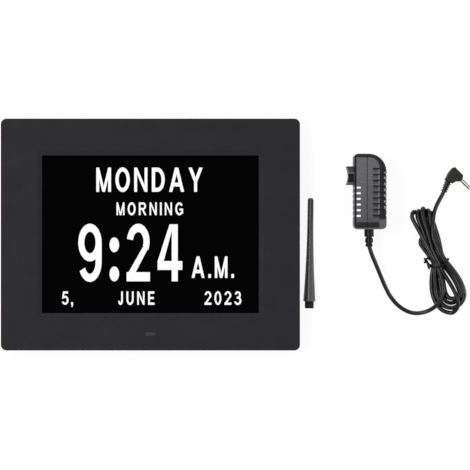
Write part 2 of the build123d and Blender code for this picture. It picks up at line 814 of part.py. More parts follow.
def make_rear_cover():
    cover = slab(clock_width, clock_height, rim_plane, cover_inside, clock_corner)
    cover = fillet(cover.edges().group_by(Axis.Z)[0], cover_edge_radius)
    lip_top = cover_inside + lip_height
    lip = slab(lip_width, lip_length, cover_inside, lip_top, inner_corner - drop_in_gap)
    lip -= slab(lip_width - 2 * lip_wall, lip_length - 2 * lip_wall, cover_inside, lip_top)
    hump = slab(hump_width, hump_height, 0, cover_inside, hump_corner)
    hump = fillet(hump.edges().group_by(Axis.Z)[0], hump_edge_radius)
    cover += lip
    cover += hump
    cover -= slab(cavity_width, cavity_height, hump_floor, cover_inside, hump_corner - hump_wall)
    # the leg's socket: a slanted boss inside, and the recess that its base sits in
    outward = 3 * recess_radius
    boss = socket_place() * post(socket_boss_radius, -socket_depth - socket_end_wall, outward)
    boss &= slab(hump_width, hump_height, 0, frame_low - socket_boss_gap)
    cover += boss
    cover -= socket_place() * post(recess_radius, 0, outward)
    cover -= socket_place() * post(socket_radius, -socket_depth, 0)
    # board posts, their pilot holes, and the button board's posts
    for x, y in board_screw_places:
        cover += post(small_boss_radius, hump_floor, board_low, x, y)
        cover -= post(small_screw_radius + seat_gap, hump_floor, board_low, x, y)
    for x, y in button_post_places:
        cover += post(small_boss_radius, cover_inside, button_board_low, x, y)
        cover -= post(small_screw_radius + seat_gap, cover_inside - screw_end_wall, button_board_low, x, y)
    for x in button_xs:
        cover -= post(button_radius + drop_in_gap, rim_plane - cut_over, cover_inside + cut_over, x, button_y)
    for x, y in case_screw_places:
        cover -= post(case_screw_radius + drop_in_gap, rim_plane, cover_inside, x, y)
        cover -= post(case_screw_head_radius + drop_in_gap, rim_plane, case_screw_seat, x, y)
    # the speaker's ring and grille
    ring_inside = speaker_radius + seat_gap
    ring_top = hump_floor + speaker_ring_height
    ring = post(ring_inside + speaker_ring_wall, hump_floor, ring_top, speaker_x, speaker_y)
    ring -= post(ring_inside, hump_floor, ring_top, speaker_x, speaker_y)
    cover += ring
    cover -= post(grille_hole_radius, -cut_over, hump_floor + cut_over, speaker_x, speaker_y)
    for step in range(1, grille_rings + 1):
        for i in range(6 * step):
            turn = 2 * math.pi * i / (6 * step)
            x = speaker_x + step * grille_ring_step * math.cos(turn)
            y = speaker_y + step * grille_ring_step * math.sin(turn)
            cover -= post(grille_hole_radius, -cut_over, hump_floor + cut_over, x, y)
    for i in range(vent_count):
        x = board_left + vent_x_from_left + i * vent_pitch
        vent = SlotOverall(vent_length, vent_width, rotation=90)
        cover -= Pos(x, 0, -cut_over) * extrude(vent, hump_floor + 2 * cut_over)
    for side in (-1, 1):
        x = side * keyhole_spacing / 2
        cover -= post(keyhole_radius, -cut_over, hump_floor + cut_over, x, keyhole_y)
        half = keyhole_slot_width / 2
        slot_end = keyhole_y + keyhole_slot_length
        cover -= box((x - half, x + half), (keyhole_y, slot_end), (-cut_over, hump_floor + cut_over))
        cover -= post(half, -cut_over, hump_floor + cut_over, x, slot_end)
    cover -= Location((0, inlet_y, inlet_z), (0, 90, 0)) * post(
        inlet_nose_radius + seat_gap, cavity_side - cut_over, hump_side + cut_over)
    return cover


def make_stand_socket():
    """A threaded metal bush, moulded into the boss in line with the leg."""
    bush = post(socket_radius, -socket_depth, 0) - post(socket_bore_radius, -socket_depth, 0)
    return socket_place() * bush


def make_screws():
    case_screw = screw(case_screw_head_radius, case_screw_head_height, case_screw_radius, case_screw_length)
    pieces["case_screws"] = group(Pos(x, y, case_screw_seat) * case_screw for x, y in case_screw_places)
    small = screw(small_screw_head_radius, small_screw_head_height, small_screw_radius, small_screw_length)
    # driven upwards into the bezel's posts
    rising = [Pos(x, y, frame_low) * small for x, y in ear_places]
    rising += [Pos(x, y, eye_board_low) * small for x, y in eye_screw_places]
    # driven downwards into the cover's posts
    falling = Rot(180, 0, 0) * small
    sinking = [Pos(x, y, board_top) * falling for x, y in board_screw_places]
    sinking += [Pos(x, y, button_board_top) * falling for x, y in button_post_places]
    pieces["small_screws"] = group(rising + sinking)


# ================================================================ the stand leg, lying on the table
def leg_place():
    """Where the leg's base lies: its own +Z points along the leg to its tip."""
    tilt = math.asin((leg_base_radius - leg_tip_radius) / (leg_length - leg_tip_radius))
    skew = math.radians(leg_skew)
    heading = Vector(
        math.cos(tilt) * math.sin(skew),
        math.cos(tilt) * math.cos(skew),
        -math.sin(tilt),
    )
    height = leg_base_radius * math.cos(tilt) + rest_lift
    base = Vector(clock_width / 2 + leg_aside, leg_base_y, height)
    return Plane(origin=base, z_dir=heading).location


def make_leg():
    flare_start = leg_length - leg_straight
    outline = Line((leg_base_radius, 0), (0, 0))
    outline += Line((0, 0), (0, leg_length))
    outline += Line((0, leg_length), (leg_tip_radius, leg_length))
    outline += Line((leg_tip_radius, leg_length), (leg_tip_radius, flare_start))
    outline += TangentArc((leg_tip_radius, flare_start), (leg_base_radius, 0), tangent=(0, -1))
    rod = revolve(Plane.XZ * make_face(outline.edges()), Axis.Z)
    rod = fillet(rod.edges().group_by(Axis.Z)[-1], leg_tip_radius * leg_tip_round)
    rod = fillet(rod.edges().group_by(Axis.Z)[0], leg_base_round)
    rod -= post(stud_root_radius, 0, stud_root_length)
    pieces["leg_rod"] = leg_place() * rod
    stud = post(stud_radius, -stud_length, 0)
    stud = chamfer(stud.edges().group_by(Axis.Z)[0], stud_thread_depth)
    half = stud_thread_depth
    groove = Polyline((stud_radius + 0.1, -half), (stud_radius + 0.1, half),
                      (stud_radius - stud_thread_depth, 0), close=True)
    ring = revolve(Plane.XZ * make_face(groove.edges()), Axis.Z)
    for i in range(int(stud_length / stud_pitch)):
        stud -= Pos(0, 0, -stud_pitch * (i + 0.5) - 0.1) * ring
    stud += post(stud_root_radius, 0, stud_root_length)
    pieces["leg_stud"] = leg_place() * stud


# ================================================================ the mains adapter
def relief_turned():
    """The strain relief's place at the adapter's lower end: its own +Z points down the cord."""
    return Location((relief_x, adapter_bottom, adapter_z), (90, 0, 0))


def adapter_outline():
    """The adapter seen from its side: square-cornered at the wall, round-shouldered outside."""
    outline = Pos(adapter_x, adapter_y) * Rectangle(adapter_depth, adapter_height)
    outline = fillet(outline.vertices().sort_by(lambda v: v.X + v.Y)[-1], adapter_shoulder_radius)
    outline = fillet(outline.vertices().sort_by(lambda v: v.X - v.Y)[-1], adapter_low_corner)
    outline = fillet(outline.vertices().sort_by(lambda v: v.X + v.Y)[0], adapter_low_corner)
    return fillet(outline.vertices().sort_by(lambda v: v.X - v.Y)[0], adapter_top_corner)


def grooves(x_near, x_far, ys, height, depth, side_depth):
    """Cutters that sink a band of each height into three sides of the adapter."""
    low, high = min(x_near, x_far), max(x_near, x_far)
    whole = (low - cut_over, high) if x_far < x_near else (low, high + cut_over)
    core_x = (low + side_depth, adapter_right) if x_far < x_near else (adapter_left, high - side_depth)
    core = box(core_x, (adapter_bottom, adapter_top), (depth, adapter_width - depth))
    core = fillet(core.edges().filter_by(Axis.Y), adapter_edge_radius - depth)
    z_span = (-cut_over, adapter_width + cut_over)
    bands = [box(whole, (y - height / 2, y + height / 2), z_span) for y in ys]
    return [band - core for band in bands]


def make_adapter_shells():
    outline = adapter_outline()
    body = extrude(outline, adapter_width)
    body = fillet(body.edges().group_by(Axis.Z)[0] + body.edges().group_by(Axis.Z)[-1], adapter_edge_radius)
    y_span = (adapter_bottom - cut_over, adapter_top + cut_over)
    z_span = (-cut_over, adapter_width + cut_over)
    base = body & box((adapter_left - cut_over, parting_x), y_span, z_span)
    cover = body & box((parting_x, adapter_right + cut_over), y_span, z_span)
    base = chamfer(base.faces().sort_by(Axis.X)[-1].edges(), seam_chamfer)
    cover = chamfer(cover.faces().sort_by(Axis.X)[0].edges(), seam_chamfer)
    hollow_width = adapter_width - 2 * adapter_wall
    cavity = Pos(0, 0, adapter_wall) * extrude(offset(outline, -adapter_wall), hollow_width)
    base -= cavity
    cover -= cavity
    # a tongue on the cover slides inside the base along the seam
    inside_y = (adapter_bottom + adapter_wall, adapter_top - adapter_wall)
    inside_z = (adapter_wall, adapter_width - adapter_wall)
    tongue_y = (inside_y[0] + seat_gap, inside_y[1] - seat_gap)
    tongue_z = (inside_z[0] + seat_gap, inside_z[1] - seat_gap)
    tongue = box((parting_x - tongue_length, parting_x), tongue_y, tongue_z)
    root_y = (inside_y[0] - tongue_wall / 2, inside_y[1] + tongue_wall / 2)
    root_z = (inside_z[0] - tongue_wall / 2, inside_z[1] + tongue_wall / 2)
    tongue += box((parting_x, parting_x + tongue_wall), root_y, root_z)
    bore_y = (tongue_y[0] + tongue_wall, tongue_y[1] - tongue_wall)
    bore_z = (tongue_z[0] + tongue_wall, tongue_z[1] - tongue_wall)
    tongue -= box((parting_x - tongue_length, parting_x + tongue_wall), bore_y, bore_z)
    tongue_notch = -adapter_wall - tongue_wall - cut_over
    tongue -= relief_turned() * post(relief_flange_radius + seat_gap, tongue_notch, -adapter_wall)
    cover += tongue
    # slots by the nose side, and the grooves that wrap round both sides
    for y in slot_ys:
        slot_left = adapter_left + slot_inset
        base -= box((slot_left, slot_left + slot_width), (y - slot_height / 2, y + slot_height / 2),
                    z_span)
        base -= box((slot_left, slot_left + slot_back_width),
                    (y - slot_back_height / 2, y + slot_back_height / 2), (-cut_over, adapter_z))
    for cutter in grooves(adapter_left + slot_inset / 2, adapter_left, slot_ys, slot_height, scallop_depth,
                          scallop_depth):
        base -= cutter
    groove_start = adapter_right - groove_reach
    for cutter in grooves(groove_start, adapter_right, groove_ys, groove_height, groove_depth, groove_side_depth):
        cover -= cutter
    # the nose's opening, the board's posts and the strain relief's hole
    base -= nose_prism(adapter_left - cut_over, adapter_left + adapter_wall + cut_over, seat_gap)
    for x_place, z_place in adapter_post_places:
        turned = Location((0, x_place, z_place), (0, 90, 0))
        base += turned * post(adapter_post_radius, adapter_left + adapter_wall, adapter_board_low)
    hole = Location((relief_x, 0, adapter_z), (-90, 0, 0)) * post(
        relief_neck_radius + seat_gap, adapter_bottom - cut_over, adapter_bottom + adapter_wall + cut_over)
    pieces["adapter_base_shell"] = base - hole
    pieces["adapter_cover_shell"] = cover - hole


def nose_prism(x_low, x_high, grow=0.0):
    """The nose's section: slanted more on its upper side than on its lower one."""
    half = nose_height / 2 + grow
    far = nose_width / 2 + grow
    upper = nose_height * nose_side_top
    lower = nose_height * nose_side_low
    upper_cut = nose_height * nose_top_slant
    lower_cut = nose_height * nose_low_slant
    corners = [
        (half, far - upper_cut), (upper, far), (lower, far), (-half, far - lower_cut),
        (-half, -far + lower_cut), (lower, -far), (upper, -far), (half, -far + upper_cut),
    ]
    outline = make_face(Polyline(*corners, close=True).edges())
    place = Plane(origin=(x_low, nose_y, adapter_z), x_dir=(0, 1, 0), z_dir=(1, 0, 0))
    return extrude(place * outline, x_high - x_low)


def make_nose():
    """The block that a slide-on plug head clips to, hollowed across its end, with its contacts."""
    inside = adapter_left + adapter_wall
    nose = nose_prism(nose_end, inside)
    flange = nose_prism(inside, inside + nose_flange_thickness, nose_flange)
    nose += flange & box((inside, inside + nose_flange_thickness), (adapter_bottom, adapter_top),
                         (adapter_wall + seat_gap, adapter_width - adapter_wall - seat_gap))
    # the end is hollowed by a round sweep across its height
    hollow_radius = ((nose_height / 2) ** 2 + nose_hollow**2) / (2 * nose_hollow)
    hollow_x = nose_end + nose_hollow - hollow_radius
    nose -= post(hollow_radius, -cut_over, adapter_width + cut_over, hollow_x, nose_y)
    # a clip slot at each side of the nose
    slot_low = nose_y + nose_height * nose_side_low
    slot_high = nose_y + nose_height * nose_side_top
    side_low = adapter_z - nose_width / 2
    side_high = adapter_z + nose_width / 2
    clip_x = (nose_end - cut_over, adapter_left - clip_gap)
    nose -= box(clip_x, (slot_low, slot_high), (side_high - clip_depth, side_high + cut_over))
    nose -= box(clip_x, (slot_low, slot_high), (side_low - cut_over, side_low + clip_depth))
    contacts = []
    for side in (-1, 1):
        along = Location((0, nose_y, adapter_z + side * contact_spacing / 2), (0, 90, 0))
        start = nose_end + nose_hollow + contact_sunk
        hole_end = inside + nose_flange_thickness + cut_over
        nose -= along * post(contact_radius + seat_gap, nose_end - cut_over, hole_end)
        contacts.append(along * post(contact_radius, start, adapter_board_low))
    pieces["plug_nose"] = nose
    pieces["plug_contacts"] = group(contacts)


def can(radius, length, place):
    """A capacitor's can, standing on the adapter's board."""
    middle = Location((0, adapter_y + place[0], adapter_z + place[1]), (0, 90, 0))
    return middle * post(radius, adapter_board_top, adapter_board_top + length)


def make_adapter_inside():
    board_y = (adapter_bottom + adapter_wall + relief_flange_thickness + drop_in_gap,
               adapter_top - adapter_wall - drop_in_gap)
    board_z = (adapter_wall + drop_in_gap, adapter_width - adapter_wall - drop_in_gap)
    pieces["adapter_board"] = box((adapter_board_low, adapter_board_top), board_y, board_z)
    middle_y = adapter_y - transformer_drop
    top = adapter_board_top + core_depth
    core = box((adapter_board_top, top), (middle_y - core_size[0] / 2, middle_y + core_size[0] / 2),
               (adapter_z - core_size[1] / 2, adapter_z + core_size[1] / 2))
    window = (core_size[0] - core_leg) / 2 - core_yoke
    for side in (-1, 1):
        near = middle_y + side * core_leg / 2
        far = near + side * window
        core -= box((adapter_board_top + core_yoke, top - core_yoke), (min(near, far), max(near, far)),
                    (0, adapter_width))
    pieces["transformer_core"] = core
    low = adapter_board_top + core_yoke + coil_play
    high = top - core_yoke - coil_play
    coil = box((low, high), (middle_y - coil_size[0] / 2, middle_y + coil_size[0] / 2),
               (adapter_z - coil_size[1] / 2, adapter_z + coil_size[1] / 2))
    coil = fillet(coil.edges().filter_by(Axis.X), coil_corner)
    half_leg = core_leg / 2 + coil_play
    half_core = core_size[1] / 2 + coil_play
    coil -= box((low, high), (middle_y - half_leg, middle_y + half_leg),
                (adapter_z - half_core, adapter_z + half_core))
    pieces["transformer_winding"] = coil
    pieces["bulk_capacitor"] = can(bulk_radius, bulk_length, bulk_place)
    pieces["output_capacitor"] = can(output_radius, output_length, output_place)


# ================================================================ the strain relief, cord and plug
def make_strain_relief():
    """Three ribs that shrink away from the adapter, on one sleeve, held by a flange inside."""
    down = relief_turned()
    relief = down * post(relief_groove_radius, -adapter_wall, relief_length)
    relief += down * post(relief_neck_radius, -adapter_wall, 0)
    relief += down * post(relief_flange_radius, -adapter_wall - relief_flange_thickness, -adapter_wall)
    spare = relief_length - 2 * relief_groove
    lengths = [spare * share for share in relief_rib_shares]
    start = 0.0
    for radius, length in zip((relief_radius, relief_middle_radius, relief_end_radius), lengths):
        rib = post(radius, start, start + length)
        rib = fillet(rib.edges(), relief_rib_round)
        relief += down * rib
        start += length + relief_groove
    pieces["strain_relief"] = relief


def make_cord():
    lead = [Vector(exit_point.X, exit_point.Y + cord_overlap, exit_point.Z)]
    lead += [from_exit(point) for point in lead_points]
    pieces["dc_cord_lead"] = cord_tube("lead", cord_radius, lead)
    tail = [from_exit(point) for point in tail_points]
    heading = math.radians(plug_heading)
    along = Vector(math.cos(heading), math.sin(heading), 0)
    tail.append(from_exit((*plug_at, plug_z)) + along * cord_overlap)
    pieces["dc_cord_tail"] = cord_tube("tail", cord_radius, tail)


def hank_place():
    return Pos(relief_x + hank_at[0], relief_end_y + hank_at[1], 0)


def make_hank():
    outline = make_face(Spline(*hank_outline, periodic=True).edges())
    hank = extrude(outline, hank_height)
    hank = chamfer(hank.edges().group_by(Axis.Z)[-1], hank_edge_radius)
    eye = Pos(*hank_eye_middle) * Rot(0, 0, hank_eye_turn) * extrude(
        SlotOverall(hank_eye_length, hank_eye_width), hank_height)
    hank -= eye
    # the tie bears on a shallow groove round the waist
    waist = Rot(0, 0, tie_turn) * Pos(0, 0, hank_height / 2)
    collar = Box(2 * tie_span, tie_width + 4 * seat_gap, hank_height + 2 * cut_over)
    kept = Box(tie_span - 2 * tie_wall, tie_width + 2 * cut_over, hank_height - 2 * tie_wall)
    hank -= waist * (collar - kept)
    pieces["dc_cord_hank"] = hank_place() * hank
    loop_inside = Box(tie_span - 2 * tie_wall, tie_width, hank_height - 2 * tie_wall)
    tie = waist * (Box(tie_span, tie_width, hank_height) - loop_inside)
    for turn in tie_twist_turns:
        twist = Rot(0, 0, turn) * Rot(0, 90, 0) * post(tie_twist_radius, 0, tie_twist_length)
        knot = Pos(-tie_span / 2 + tie_twist_inset, 0, hank_height * tie_twist_rise)
        tie += Rot(0, 0, tie_turn) * knot * twist
    pieces["cord_tie"] = hank_place() * tie


def make_plug():
    place = Location(from_exit((*plug_at, plug_z)), (0, 0, plug_heading - 90))
    # in the barrel's own frame +Z is the way it points
    lengthwise = Location((barrel_start[0], barrel_start[1], 0), (0, 0, barrel_turn)) * Rot(-90, 0, 0)
    turn = math.radians(barrel_turn)
    half_face = (math.cos(turn) * barrel_face_width / 2, math.sin(turn) * barrel_face_width / 2)
    far_corner = (barrel_start[0] - half_face[0], barrel_start[1] - half_face[1])
    near_corner = (barrel_start[0] + half_face[0], barrel_start[1] + half_face[1])
    outline = [*plug_outline_up, far_corner, near_corner, *plug_outline_back]
    body = extrude(make_face(Polyline(*outline, close=True).edges()), 2 * plug_z)
    rims = body.edges().group_by(Axis.Z)[0] + body.edges().group_by(Axis.Z)[-1]
    body = Pos(0, 0, -plug_z) * fillet(rims, plug_edge_radius)
    neck_whole = neck_length + plug_neck_overlap
    neck = Pos(0, 0, neck_whole / 2) * Cone(neck_radius, neck_root_radius, neck_whole)
    neck_core = Pos(0, 0, neck_whole / 2) * Cone(
        neck_radius - neck_ring_depth, neck_root_radius - neck_ring_depth, neck_whole)
    pitch = neck_length / (neck_ring_count + 0.5)
    for i in range(neck_ring_count):
        ring_low = pitch * (i + neck_first_ring) - neck_ring_width / 2
        ring = post(neck_root_radius + cut_over, ring_low, ring_low + neck_ring_width)
        neck -= ring - neck_core
    plug = body + Rot(-90, 0, 0) * neck
    plug -= lengthwise * post(barrel_root_radius, -barrel_root_length, 0)
    pieces["dc_plug_body"] = place * plug
    metal_end = barrel_length - tip_ring_length
    inner_radius = barrel_radius - barrel_wall
    sleeve = post(barrel_radius, 0, metal_end) - post(inner_radius, barrel_floor, metal_end)
    sleeve += post(barrel_root_radius, -barrel_root_length, 0)
    pieces["dc_plug_sleeve"] = place * lengthwise * sleeve
    tip = post(barrel_radius, metal_end, barrel_length) + post(inner_radius, barrel_floor, metal_end)
    tip -= post(contact_outer_radius, barrel_floor, barrel_length)
    pieces["dc_plug_tip"] = place * lengthwise * tip
    contact = post(contact_outer_radius, barrel_floor, barrel_length - contact_sunk_in)
    contact -= post(contact_bore_radius, barrel_floor + contact_bore_floor, barrel_length)
    pieces["dc_plug_contact"] = place * lengthwise * contact


# ================================================================ build and write
pieces["front_bezel"] = make_front_bezel()
pieces["rear_cover"] = make_rear_cover()
pieces["stand_socket"] = make_stand_socket()
make_eye()
make_screen_module()
make_main_board()
make_cables()
make_dc_inlet()
make_speaker()
make_buttons()
make_screws()
make_leg()
make_adapter_shells()
make_nose()
make_adapter_inside()
make_strain_relief()
make_cord()
make_hank()
make_plug()

os.makedirs("parts", exist_ok=True)
for node, shape in pieces.items():
    export_step(shape, f"parts/{node}.step")
print(len(pieces), "nodes")
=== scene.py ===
import math
import bpy
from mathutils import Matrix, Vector


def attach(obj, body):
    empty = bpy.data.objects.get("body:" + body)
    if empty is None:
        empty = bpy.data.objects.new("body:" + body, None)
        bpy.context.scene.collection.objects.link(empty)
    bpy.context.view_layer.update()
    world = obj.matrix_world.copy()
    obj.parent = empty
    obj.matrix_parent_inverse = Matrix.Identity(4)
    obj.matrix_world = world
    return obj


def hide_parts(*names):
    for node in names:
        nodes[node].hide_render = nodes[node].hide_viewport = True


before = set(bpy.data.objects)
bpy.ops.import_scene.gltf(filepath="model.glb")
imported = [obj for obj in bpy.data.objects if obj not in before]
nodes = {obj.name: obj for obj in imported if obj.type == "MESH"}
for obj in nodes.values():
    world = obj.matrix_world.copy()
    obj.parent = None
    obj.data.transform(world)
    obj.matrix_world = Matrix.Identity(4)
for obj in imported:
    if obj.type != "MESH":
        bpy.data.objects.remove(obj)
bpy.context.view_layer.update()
MM = 0.001
scene = bpy.context.scene

# ---------------------------------------------------------------------------------------
# Camera. It hangs two and a half metres over the flat lay and looks straight down on it,
# so that the casing, the leg, the adapter and the tied cord are all seen from above.
# ---------------------------------------------------------------------------------------
camera_over = (63.35, -0.34, 2500.0)
sensor_width = 36.0
view_width = 351.75
view_distance = 2475.0

camera_data = bpy.data.cameras.new("overhead_camera")
camera_data.sensor_width = sensor_width
camera_data.lens = sensor_width * view_distance / view_width
camera_data.clip_start = 0.05
camera_data.clip_end = 50.0
camera = bpy.data.objects.new("overhead_camera", camera_data)
camera.location = [value * MM for value in camera_over]
scene.collection.objects.link(camera)
scene.camera = camera
scene.view_settings.view_transform = "Standard"


# ---------------------------------------------------------------------------------------
# Floor and light. A plain white table top under a large soft overhead light, a window-like
# panel from the left and a weaker one from the right, in a pale room.
# ---------------------------------------------------------------------------------------
def colour(hex_code):
    """Turns an sRGB hex colour such as 1b1b1d into the linear RGBA that shaders take."""
    parts = [int(hex_code[k:k + 2], 16) / 255.0 for k in (0, 2, 4)]
    return [p / 12.92 if p <= 0.04045 else ((p + 0.055) / 1.055) ** 2.4 for p in parts] + [1.0]


def add_node(tree, kind, settings=None, links=None):
    """Adds a node, sets its own settings or its sockets' values, and links its sockets."""
    made = tree.nodes.new(kind)
    for name, value in (settings or {}).items():
        if isinstance(name, int) or name in made.inputs:
            made.inputs[name].default_value = value
        else:
            setattr(made, name, value)
    for name, source in (links or {}).items():
        tree.links.new(source, made.inputs[name])
    return made


def new_material(name):
    """Starts an empty node material and returns it with its tree."""
    material = bpy.data.materials.new(name)
    material.use_nodes = True
    material.node_tree.nodes.clear()
    return material, material.node_tree


def deselect():
    """Leaves edit mode and clears the selection, which the imported frame leaves full."""
    if bpy.context.object and bpy.context.object.mode != "OBJECT":
        bpy.ops.object.mode_set(mode="OBJECT")
    bpy.ops.object.select_all(action="DESELECT")


floor_size = 6.0
table_paint, tree = new_material("white_table_paint")
seen = add_node(tree, "ShaderNodeLightPath")
camera_or_gloss = add_node(tree, "ShaderNodeMath", {"operation": "MAXIMUM"},
                           {0: seen.outputs["Is Camera Ray"], 1: seen.outputs["Is Glossy Ray"]})
plain_white = add_node(tree, "ShaderNodeMath", {"operation": "MAXIMUM"},
                       {0: camera_or_gloss.outputs[0], 1: seen.outputs["Is Transmission Ray"]})
share = add_node(tree, "ShaderNodeMath", {"operation": "MULTIPLY", 1: 0.86}, {0: plain_white.outputs[0]})
lit = add_node(tree, "ShaderNodeBsdfDiffuse", {"Color": colour("e9e9e9")})
glow = add_node(tree, "ShaderNodeEmission", {"Color": colour("ffffff"), "Strength": 1.06})
mixed = add_node(tree, "ShaderNodeMixShader", None,
                 {0: share.outputs[0], 1: lit.outputs[0], 2: glow.outputs[0]})
add_node(tree, "ShaderNodeOutputMaterial", None, {"Surface": mixed.outputs[0]})

deselect()
bpy.ops.mesh.primitive_plane_add(size=floor_size, location=(0, 0, 0))
floor = bpy.context.object
floor.name = "table_top"
floor.data.materials.append(table_paint)

room = bpy.data.worlds.new("pale_room")
room.use_nodes = True
tree = room.node_tree
tree.nodes.clear()
sky_seen = add_node(tree, "ShaderNodeLightPath")
room_light = add_node(tree, "ShaderNodeBackground", {"Color": colour("f4f4f4"), "Strength": 0.42})
room_white = add_node(tree, "ShaderNodeBackground", {"Color": colour("ffffff"), "Strength": 1.0})
room_mix = add_node(tree, "ShaderNodeMixShader", None,
                    {0: sky_seen.outputs["Is Camera Ray"], 1: room_light.outputs[0], 2: room_white.outputs[0]})
add_node(tree, "ShaderNodeOutputWorld", None, {"Surface": room_mix.outputs[0]})
scene.world = room

# name, place, watts, length along the lay and depth across it, aimed at its middle
lamps = [
    ("long_softbox", (-0.7, 0.1, 2.1), 25.0, 1.7, 0.36),
    ("fill_panel", (1.9, -0.3, 0.9), 11.0, 0.8, 1.2),
    ("back_panel", (0.3, 2.1, 1.0), 10.0, 1.8, 0.5),
]
aim = Vector((0.06, 0.0, 0.0))
for name, place, watts, width, height in lamps:
    light = bpy.data.lights.new(name, "AREA")
    light.shape = "RECTANGLE"
    light.size = width
    light.size_y = height
    light.energy = watts
    lamp = bpy.data.objects.new(name, light)
    lamp.location = place
    lamp.rotation_euler = (aim - Vector(place)).to_track_quat("-Z", "Y").to_euler()
    scene.collection.objects.link(lamp)

# ---------------------------------------------------------------------------------------
# Cord. Soft black PVC over two copper cores, 3.2 mm thick and 1.2 m long. It comes out of
# the strain relief, dips to the table in one easy bend, is folded six times into a hank
# as it is when sold, and its tail runs up to the plug.
# ---------------------------------------------------------------------------------------
cord_diameter = 3.2
cord_exit = Vector((163.9, -9.1, 19.0))
plug_rear = Vector((221.1, 32.5, 3.5))
plug_heading = math.radians(67.2)
inside_plug = 0.8

lead_route = [(0.0, 0.8, 19.0), (1.5, -4.6, 18.5), (4.9, -12.2, 15.6), (8.7, -21.2, 11.4),
              (12.6, -30.3, 6.8), (17.4, -39.1, 3.2), (24.4, -46.4, 1.8), (33.2, -50.6, 1.7),
              (42.0, -50.0, 2.3), (48.6, -46.9, 4.6), (53.2, -42.4, 8.0), (56.0, -36.5, 9.5),
              (56.4, -30.4, 9.6), (55.2, -24.6, 9.5), (53.4, -19.2, 9.4)]
tail_route = [(52.4, -2.2, 9.2), (49.9, 3.2, 9.0), (48.2, 8.8, 8.8), (48.1, 14.6, 8.0),
              (48.8, 20.2, 6.8), (49.5, 25.4, 5.9), (51.1, 30.1, 5.1), (53.5, 34.9, 4.2), (55.7, 38.6, 3.6)]

# The tie pulls the hank into a waist. A strand lies there at its offset along the waist's
# line and at its height, and leaves it downwards on its own heading, in degrees.
waist = Vector((218.2, -21.4))
waist_line = Vector((0.9397, 0.3420))
waist_reach = 5.2
half_waist = 4.4
leftmost_up = Vector((-0.48, 0.88))
rightmost_up = Vector((-0.55, 0.83))
right_bow = Vector((-0.08, 1.0))


def waist_strand(offset, height, heading):
    """Three points of a strand in the tie: below it, in it and above it."""
    share_right = (offset + half_waist) / (2 * half_waist)
    turn = math.radians(heading)
    middle = waist + waist_line * offset
    above = middle + leftmost_up.lerp(rightmost_up, share_right).normalized() * waist_reach
    below = middle + Vector((math.cos(turn), math.sin(turn))) * waist_reach
    return [Vector((point.x, point.y, height)) for point in (below, middle, above)]


def upper_loop(start, end, tip, half_width, heights, bow):
    """The strand's run from the waist up to a tip, round it, and back to the waist."""
    middle_height = (heights[0] + heights[1]) / 2
    half_height = (heights[0] - heights[1]) / 2
    turn_radius = math.hypot(half_width, half_height)
    sides = []
    for foot, side, height, bulge in ((start, -half_width, heights[0], 0.0), (end, half_width, heights[1], bow)):
        shoulder = Vector((tip[0] + side, tip[1] - turn_radius - 2.2))
        straight = shoulder - foot.xy
        pull = foot.xy + straight.normalized().lerp(right_bow, bulge) * straight.length * 0.45
        run = []
        for t in (0.25, 0.5, 0.75, 1.0):
            flat = foot.xy * (1 - t) ** 2 + pull * 2 * t * (1 - t) + shoulder * t ** 2
            run.append(Vector((flat.x, flat.y, foot.z + (height - foot.z) * t)))
        sides.append(run)
    over = []
    for step in range(5):
        turn = math.radians(45.0 * step)
        over.append(Vector((tip[0] - half_width * math.cos(turn), tip[1] - turn_radius * (1 - math.sin(turn) * 1.06),
                            middle_height + half_height * math.cos(turn))))
    return sides[0] + over + sides[1][::-1]


def lower_loop(foot, shoulder, right, bottom, left, heights):
    """The strand's run round the bottom of the hank, from its right side to its left."""
    points = [Vector((shoulder[0], shoulder[1], foot.z + (heights[0] - foot.z) * 0.6))]
    for step in range(7):
        turn = math.radians(30.0 * step)
        side, height = (right, heights[0]) if step < 4 else (left, heights[2])
        x = bottom[0] + (side[0] - bottom[0]) * abs(math.cos(turn)) * 1.03
        y = side[1] + (bottom[1] - side[1]) * math.sin(turn) * 1.02
        points.append(Vector((x, y, height + (heights[1] - height) * math.sin(turn) ** 2)))
    return points


# Above the tie, one row a fold: how the strand rises through the waist, the tip that it
# turns over, half its width, its two heights there, how it falls back, and its bow.
upper_folds = [
    ((-2.6, 9.4, -105), (199.0, 17.2), 2.1, (4.9, 1.7), (-0.8, 9.4, -76), 0.0),
    ((-4.4, 1.7, -111), (204.8, -2.5), 1.35, (1.7, 6.4), (0.9, 1.7, -52), 0.0),
    ((-1.5, 1.7, -94), (208.9, 18.3), 0.9, (1.7, 6.5), (4.4, 6.9, -50), 0.12),
    ((-3.5, 6.9, -97), (202.0, 17.9), 0.8, (6.7, 1.7), (3.0, 4.3, -46), 0.0),
    ((0.0, 4.3, -88), (211.2, 16.6), 1.0, (6.7, 1.7), (4.4, 1.7, -52), 0.8),
    ((-1.5, 6.9, -94), (205.3, 19.7), 1.0, (8.4, 3.2), (1.5, 6.9, -100), 0.0),
]
# Below the tie, one row a fold: its shoulder, its right side, its bottom, its left side,
# and its heights at the three.
lower_folds = [
    ((226.5, -38.3), (231.9, -50.0), (226.0, -59.4), (211.8, -39.0), (8.6, 3.4, 1.7)),
    ((228.6, -33.4), (233.2, -43.6), (226.4, -51.9), (218.6, -40.0), (1.7, 1.7, 4.9)),
    ((233.2, -33.7), (236.6, -44.0), (226.4, -55.6), (215.4, -40.0), (4.9, 4.9, 4.9)),
    ((230.2, -34.0), (234.2, -42.8), (226.6, -48.4), (220.9, -39.0), (4.9, 4.9, 1.7)),
    ((232.4, -34.2), (235.0, -46.0), (226.4, -55.6), (213.9, -40.0), (1.7, 1.7, 1.7)),
    ((231.6, -33.4), (235.2, -42.4), (226.8, -48.4), (221.3, -38.6), (8.1, 5.6, 5.0)),
]
last_rise = (3.3, 9.4, -46)

